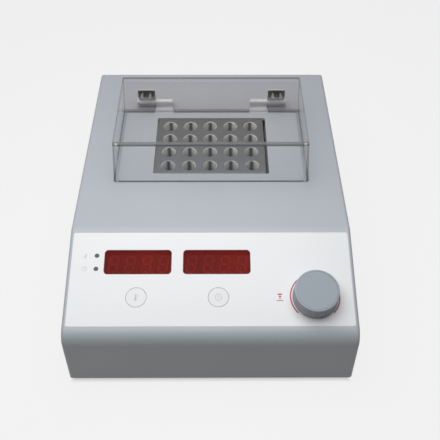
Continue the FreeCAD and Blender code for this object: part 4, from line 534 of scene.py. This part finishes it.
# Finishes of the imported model's nodes
def dress_nodes():
    """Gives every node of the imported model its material."""
    finishes = (
        # Satin grey with a fine grain
        (moulded_plastic("satin_moulded_abs", "#B2B8BF", 0.8), ["top_housing"]),
        # Pale metal with a crystal sparkle, and brighter on small screws
        (zinc_plated("zinc_plated_sheet", "#B4B6B6"), [
            "chassis_pan", "clamp_plate", "stack_standoffs", "power_standoffs"]),
        (zinc_plated("zinc_plated_screws", "#B9BABA", 0.3), [
            "case_screws", "board_screws", "stack_screws", "power_screws", "hinge_foot_nuts",
            "encoder_nut", "knob_set_screw", "switch_pivot"]),
        # Near black, dull and dusty
        (moulded_rubber(), ["rubber_feet"]),
        # A bright mirror with hair-fine scratches
        (drawn_metal("polished_stainless_steel", "#D8D9D9", 0.14, 0.25, "X", 0.004), [
            "leaf_screws", "hinge_pins", "encoder_shaft"]),
        # Pale brushed steel, mostly not metallic: its pale colour is a painted reflection of a white studio
        (drawn_metal("brushed_stainless_hinges_painted_reflection", "#DADFE4", 0.3, 0.3, "X", 0.006, 0.1), [
            "hinge_foot_left", "hinge_foot_right", "hinge_leaf_left", "hinge_leaf_right"]),
        # Even white, slightly glossy
        (printed_film(), ["panel_overlay"]),
        # Deep red windows, with a dark case and pale digits behind them
        (tinted_acrylic("red_tinted_acrylic", "#86160E", 0.55, 0.15, 0.06), [
            "display_window_left", "display_window_right"]),
        (moulded_plastic("display_case_plastic", "#2A2322", 1.0), ["display_left", "display_right"]),
        (moulded_plastic("diffusing_resin", "#F4705F", 1.5, 0.5), ["display_segments"]),
        # Smoky lenses over red lamps
        (tinted_acrylic("smoked_acrylic_lenses", "#323335", 0.9, 0.2), ["status_lenses"]),
        (tinted_acrylic("lamp_epoxy", "#B03028", 0.85), ["status_leds"]),
        # Green, with a faint weave
        (glass_epoxy(), ["control_board", "power_board"]),
        # White with a soft gloss
        (moulded_plastic("moulded_white_keys", "#E4E6E8", 0.6, 0.45, 0.008, 0.02), ["key_left", "key_right"]),
        # Dark satin, and glossier on the rocker
        (moulded_plastic("moulded_black_nylon", "#1E1F20", 0.9, 0.4), [
            "key_plunger_left", "key_plunger_right", "key_switches", "push_plunger", "mains_inlet",
            "fuse_drawer", "switch_frame", "well_frame", "triac", "power_capacitors"]),
        (moulded_plastic("glossy_black_rocker", "#161718", 1.2, 0.22), ["rocker_button"]),
        # Dull grey castings
        (zinc_plated("die_cast_zinc", "#A9A9A4"), ["encoder_body", "thermal_cutout", "temperature_sensor"]),
        # Blue-grey satin, with a slightly darker inlay
        (moulded_plastic("ribbed_grey_knob", "#9EA5AE", 0.7, 0.4), ["control_knob"]),
        (moulded_plastic("satin_grey_cap", "#8E99A1", 0.7, 0.4), ["knob_cap"]),
        # Grey top, and wells with painted highlights, painted shade and a painted reflection streak
        (block_aluminium(), ["heating_block"]),
        # Coarse cutter lines
        (drawn_metal("milled_aluminium", "#B8BABA", 0.36, 0.6, "Y", 0.02), ["heater_plate", "heat_sink"]),
        # Brick red and grainy
        (moulded_plastic("silicone_rubber_mat", "#B4552E", 1.4, 0.6, 0.05), ["heater_mat"]),
        # Pale and matted
        (fibre_felt(), ["insulation_pad"]),
        # Colourless, with painted grey lines of shade at the edges, painted highlights and painted shade
        # strips
        (clear_acrylic(), ["lid_cover"]),
        # Warm, fairly bright metal
        (drawn_metal("nickel_plated_brass", "#C9C3B2", 0.25, 0.3, "Y"), ["inlet_blades"]),
        # Clear glass between metal caps
        (fuse_glass(), ["fuses"]),
        # Dark brown varnish
        (moulded_plastic("varnished_laminations", "#3A3733", 0.9, 0.45, 0.08), ["board_transformer"]),
        # Plain green
        (moulded_plastic("green_terminal_plastic", "#2F6E45", 0.9), ["terminal_block"]))
    for material, nodes in finishes:
        for node in nodes:
            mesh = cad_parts[node].data
            mesh.materials.clear()
            mesh.materials.append(material)


# Outlines of printed marks: closed lists of (across, up) points in millimetres
def arc_band(centre, radius, width, start, end, steps=32):
    """A curved band about a centre, between two angles in degrees."""
    angles = [math.radians(start + (end - start) * i / steps) for i in range(steps + 1)]
    outer = [(centre[0] + (radius + width / 2) * math.cos(a), centre[1] + (radius + width / 2) * math.sin(a))
             for a in angles]
    inner = [(centre[0] + (radius - width / 2) * math.cos(a), centre[1] + (radius - width / 2) * math.sin(a))
             for a in reversed(angles)]
    return outer + inner


def ring(centre, radius, width):
    """A circle line, as two half bands."""
    return [arc_band(centre, radius, width, 0, 180), arc_band(centre, radius, width, 180, 360)]


def disc(centre, radius, steps=24):
    """A filled circle."""
    return [(centre[0] + radius * math.cos(2 * math.pi * i / steps),
             centre[1] + radius * math.sin(2 * math.pi * i / steps)) for i in range(steps)]


def bar(centre, width, height):
    """A filled rectangle."""
    return [(centre[0] + across * width / 2, centre[1] + up * height / 2)
            for across, up in ((-1, -1), (1, -1), (1, 1), (-1, 1))]


def clock(centre, radius):
    """A clock face: a circle line with two hands, in shares of its radius."""
    x, y = centre
    return ring(centre, radius, radius * 0.18) + [
        bar((x, y + radius * 0.28), radius * 0.18, radius * 0.62),
        bar((x + radius * 0.2, y), radius * 0.5, radius * 0.18)]


def thermometer(centre, height):
    """A thermometer: a bulb, a stem and three short ticks, in shares of its height."""
    x, y = centre
    bulb = disc((x, y - height * 0.32), height * 0.18)
    stem = bar((x, y + height * 0.12), height * 0.14, height * 0.72)
    ticks = [bar((x + height * 0.26, y + height * rise), height * 0.2, height * 0.07)
             for rise in (0.4, 0.22, 0.04)]
    return [bulb, stem] + ticks


def push_sign(x):
    """A bar over an arrow that points down on to a line: push."""
    head = [(x - 1.3, -0.2), (x, 1.0), (x + 1.3, -0.2)]
    return [bar((x, 1.9), 3.0, 1.1), bar((x, -0.9), 0.6, 2.2), head, bar((x, -2.9), 4.8, 0.5)]


# Printed marks
def plane_at(point, normal, up):
    """Axes for marks, across, up and outward, at a point of a face."""
    outward = Vector(normal).normalized()
    rise = (Vector(up) - outward * Vector(up).dot(outward)).normalized()
    across = rise.cross(outward)
    return Matrix((across, rise, outward)).transposed(), Vector(point)


def print_mark(name, outlines, plane, material, body, drop=None):
    """A thin layer of ink on a plane. drop gives the height of each point on a curved face, in metres."""
    axes, origin = plane
    points, faces = [], []
    for outline in outlines:
        first, count = len(points), len(outline)
        for level in (0.0, INK_THICKNESS * MM):
            for across, up in outline:
                lift = drop(across * MM, up * MM) if drop else 0.0
                points.append(origin + axes @ Vector((across * MM, up * MM, lift + level)))
        faces.append(list(range(first + count, first + 2 * count)))
        faces.append(list(reversed(range(first, first + count))))
        for i in range(count):
            after = (i + 1) % count
            faces.append([first + i, first + after, first + count + after, first + count + i])
    mesh = bpy.data.meshes.new(name)
    mesh.from_pydata([tuple(p) for p in points], [], faces)
    mesh.update()
    mesh.materials.append(material)
    piece = bpy.data.objects.new(name, mesh)
    bpy.context.scene.collection.objects.link(piece)
    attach(piece, body)


def widest_face(node, direction):
    """The normal and the middle of a node's widest flat face that looks along direction."""
    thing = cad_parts[node]
    turn = thing.matrix_world.to_3x3()
    faces = [face for face in thing.data.polygons
             if (turn @ face.normal).dot(Vector(direction)) > FACING_SHARE]
    widest = max(faces, key=lambda face: face.area)
    return (turn @ widest.normal).normalized(), thing.matrix_world @ widest.center


def middle_of(node):
    """The middle of a node's box."""
    low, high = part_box(node)
    return (Vector(low) + Vector(high)) / 2


def on_plane(point, normal, level):
    """A point moved along the normal on to the plane through level."""
    return Vector(point) + Vector(normal) * (Vector(level) - Vector(point)).dot(Vector(normal))


def build_panel_marks(red, grey):
    """The arcs and the push sign by the knob, and the two signs by the status lights."""
    normal, level = widest_face("panel_overlay", (0, 0, 1))
    up_slope = (0, 1, 0)
    at_knob = plane_at(on_plane(middle_of("control_knob"), normal, level), normal, up_slope)
    at_lights = plane_at(on_plane(middle_of("status_lenses"), normal, level), normal, up_slope)
    arcs = [arc_band((0, 0), ARC_RADIUS, ARC_WIDTH, start, end) for start, end in ARC_SPANS]
    print_mark("knob_turn_marks", arcs, at_knob, red, "base")
    print_mark("knob_push_mark", push_sign(PUSH_MARK_ACROSS), at_knob, red, "base")
    signs = thermometer((STATUS_MARK_ACROSS, STATUS_MARK_RISE), STATUS_THERMOMETER_HEIGHT)
    signs += clock((STATUS_MARK_ACROSS, -STATUS_MARK_RISE), STATUS_CLOCK_RADIUS)
    print_mark("status_marks", signs, at_lights, grey, "base")


def build_key_marks(ink):
    """A ring on each key, with a thermometer in the left one and a clock in the right one."""
    signs = {"left": thermometer((KEY_THERMOMETER_SHIFT, 0), KEY_THERMOMETER_HEIGHT),
             "right": clock((0, 0), KEY_CLOCK_RADIUS)}
    for side, sign in signs.items():
        normal, level = widest_face("key_" + side, (0, 0, 1))
        centre = on_plane(middle_of("key_" + side), normal, level)
        print_mark("key_mark_" + side, ring((0, 0), KEY_RING_RADIUS, KEY_RING_WIDTH) + sign,
                   plane_at(centre, normal, (0, 1, 0)), ink, side + "_key")


def build_rocker_marks(ink):
    """The line and the circle on the two ends of the rocker, laid on its curved face."""
    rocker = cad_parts["rocker_button"]
    low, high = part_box("rocker_button")
    middle = middle_of("rocker_button")
    start = Vector((middle.x, high[1] + ROCKER_CLEARANCE, middle.z))
    inverse = rocker.matrix_world.inverted()

    def drop(across, up):
        """How far the rocker's face lies behind the plane of the marks."""
        origin = inverse @ (start + Vector((-across, 0, up)))
        hit, place, _normal, _face = rocker.ray_cast(origin, inverse.to_3x3() @ Vector((0, -1, 0)))
        return (rocker.matrix_world @ place).y - start.y if hit else 0.0

    reach = (high[2] - low[2]) * ROCKER_MARK_SHARE / MM
    marks = [bar((0, reach), *ROCKER_LINE)] + ring((0, -reach), ROCKER_RING_RADIUS, ROCKER_RING_WIDTH)
    print_mark("rocker_marks", marks, plane_at(start, (0, 1, 0), (0, 0, 1)), ink, "rocker", drop)


def build_marks():
    """The marks on the overlay, the keys and the rocker: simple signs only, with no words."""
    red = printing_ink("red_printing_ink", "#AE3540")
    grey = printing_ink("grey_printing_ink", "#B9BBBE")
    white = printing_ink("white_printing_ink", "#E8E8E6")
    build_panel_marks(red, grey)
    build_key_marks(grey)
    build_rocker_marks(white)


# Stage: floor, world, lamp and camera
def floor_glow_and_painted_shadow(tree):
    """The floor's even glow, with a painted shadow that fades it to almost nothing in the gap under the
    housing.
    """
    place = own_place(tree)
    past = []
    for axis, low, high in zip("XY", cad_box[0], cad_box[1]):
        off = add(tree, "Math", {0: place.outputs[axis], 1: (low + high) / 2}, operation="SUBTRACT")
        far = add(tree, "Math", {0: off}, operation="ABSOLUTE")
        past.append(add(tree, "Math", {0: far, 1: (high - low) / 2}, operation="SUBTRACT"))
    return add(tree, "MapRange", {"Value": largest(tree, past), "From Min": -GAP_SHADE, "From Max": 0.0,
                                  "To Min": GAP_PAINTED_SHADOW_GLOW, "To Max": FLOOR_GLOW})


def build_floor():
    """A wide floor. The camera, mirrors and clear pieces see its even glow, a painted shadow under the
    housing and the object's soft shadow, and the object gets the light that a pale floor would throw back."""
    size = FLOOR_REACH
    mesh = bpy.data.meshes.new("floor")
    mesh.from_pydata([(-size, -size, 0), (size, -size, 0), (size, size, 0), (-size, size, 0)], [],
                     [(0, 1, 2, 3)])
    material, tree = blank_material("pale_paper_backdrop")
    shade = linear(BACKDROP_SHADE)
    seen = add(tree, "AddShader", {
        0: add(tree, "Emission", {"Color": shade, "Strength": floor_glow_and_painted_shadow(tree)}),
        1: add(tree, "BsdfDiffuse", {"Color": dimmed(shade, FLOOR_LIT)})})
    bounce = add(tree, "BsdfDiffuse", {"Color": linear(FLOOR_BOUNCE_SHADE)})
    path = add(tree, "LightPath").outputs
    direct = largest(tree, [path["Is Camera Ray"], path["Is Transmission Ray"], path["Is Glossy Ray"]])
    both = add(tree, "MixShader", {0: direct, 1: bounce, 2: seen})
    add(tree, "OutputMaterial", {"Surface": both})
    mesh.materials.append(material)
    floor = bpy.data.objects.new("floor", mesh)
    bpy.context.scene.collection.objects.link(floor)


def build_world():
    """A pale world for the camera, a weaker one in mirrors, and a faint one that fills the shadows."""
    world = bpy.data.worlds.new("studio")
    world.use_nodes = True
    tree = world.node_tree
    tree.nodes.clear()
    shade = linear(BACKDROP_SHADE)
    seen, mirrored, fill = (add(tree, "Background", {"Color": shade, "Strength": strength})
                            for strength in (1.0, WORLD_MIRRORED, WORLD_FILL))
    path = add(tree, "LightPath").outputs
    unseen = add(tree, "MixShader", {0: path["Is Glossy Ray"], 1: fill, 2: mirrored})
    both = add(tree, "MixShader", {0: path["Is Camera Ray"], 1: unseen, 2: seen})
    add(tree, "OutputWorld", {"Surface": both})
    bpy.context.scene.world = world


def build_lamp():
    """The square softbox over the object."""
    data = bpy.data.lights.new("overhead_softbox", "AREA")
    data.shape = "SQUARE"
    data.size = LAMP_SIDE
    data.energy = LAMP_POWER
    lamp = bpy.data.objects.new("overhead_softbox", data)
    lamp.location = LAMP_PLACE
    lamp.rotation_euler = (Vector(LAMP_TARGET) - Vector(LAMP_PLACE)).to_track_quat("-Z", "Y").to_euler()
    bpy.context.scene.collection.objects.link(lamp)


def build_camera():
    """The camera at the photograph's place, angle and focal length."""
    data = bpy.data.cameras.new("camera")
    data.sensor_width = SENSOR_MM
    data.lens = FOCAL_PIXELS / IMAGE_PIXELS * SENSOR_MM
    camera = bpy.data.objects.new("camera", data)
    pitch, yaw = math.radians(CAMERA_PITCH_DOWN), math.radians(CAMERA_YAW_RIGHT)
    forward = Vector((math.sin(yaw) * math.cos(pitch), math.cos(yaw) * math.cos(pitch), -math.sin(pitch)))
    right = Vector((math.cos(yaw), -math.sin(yaw), 0))
    up = right.cross(forward)
    roll = math.radians(CAMERA_ROLL)
    turned_right = right * math.cos(roll) + up * math.sin(roll)
    turned_up = up * math.cos(roll) - right * math.sin(roll)
    axes = Matrix((turned_right, turned_up, -forward)).transposed().to_4x4()
    camera.matrix_world = Matrix.Translation(CAMERA_PLACE) @ axes
    bpy.context.scene.collection.objects.link(camera)
    bpy.context.scene.camera = camera


dress_nodes()
build_marks()
build_floor()
build_world()
build_lamp()
build_camera()
bpy.context.scene.view_settings.view_transform = "Standard"
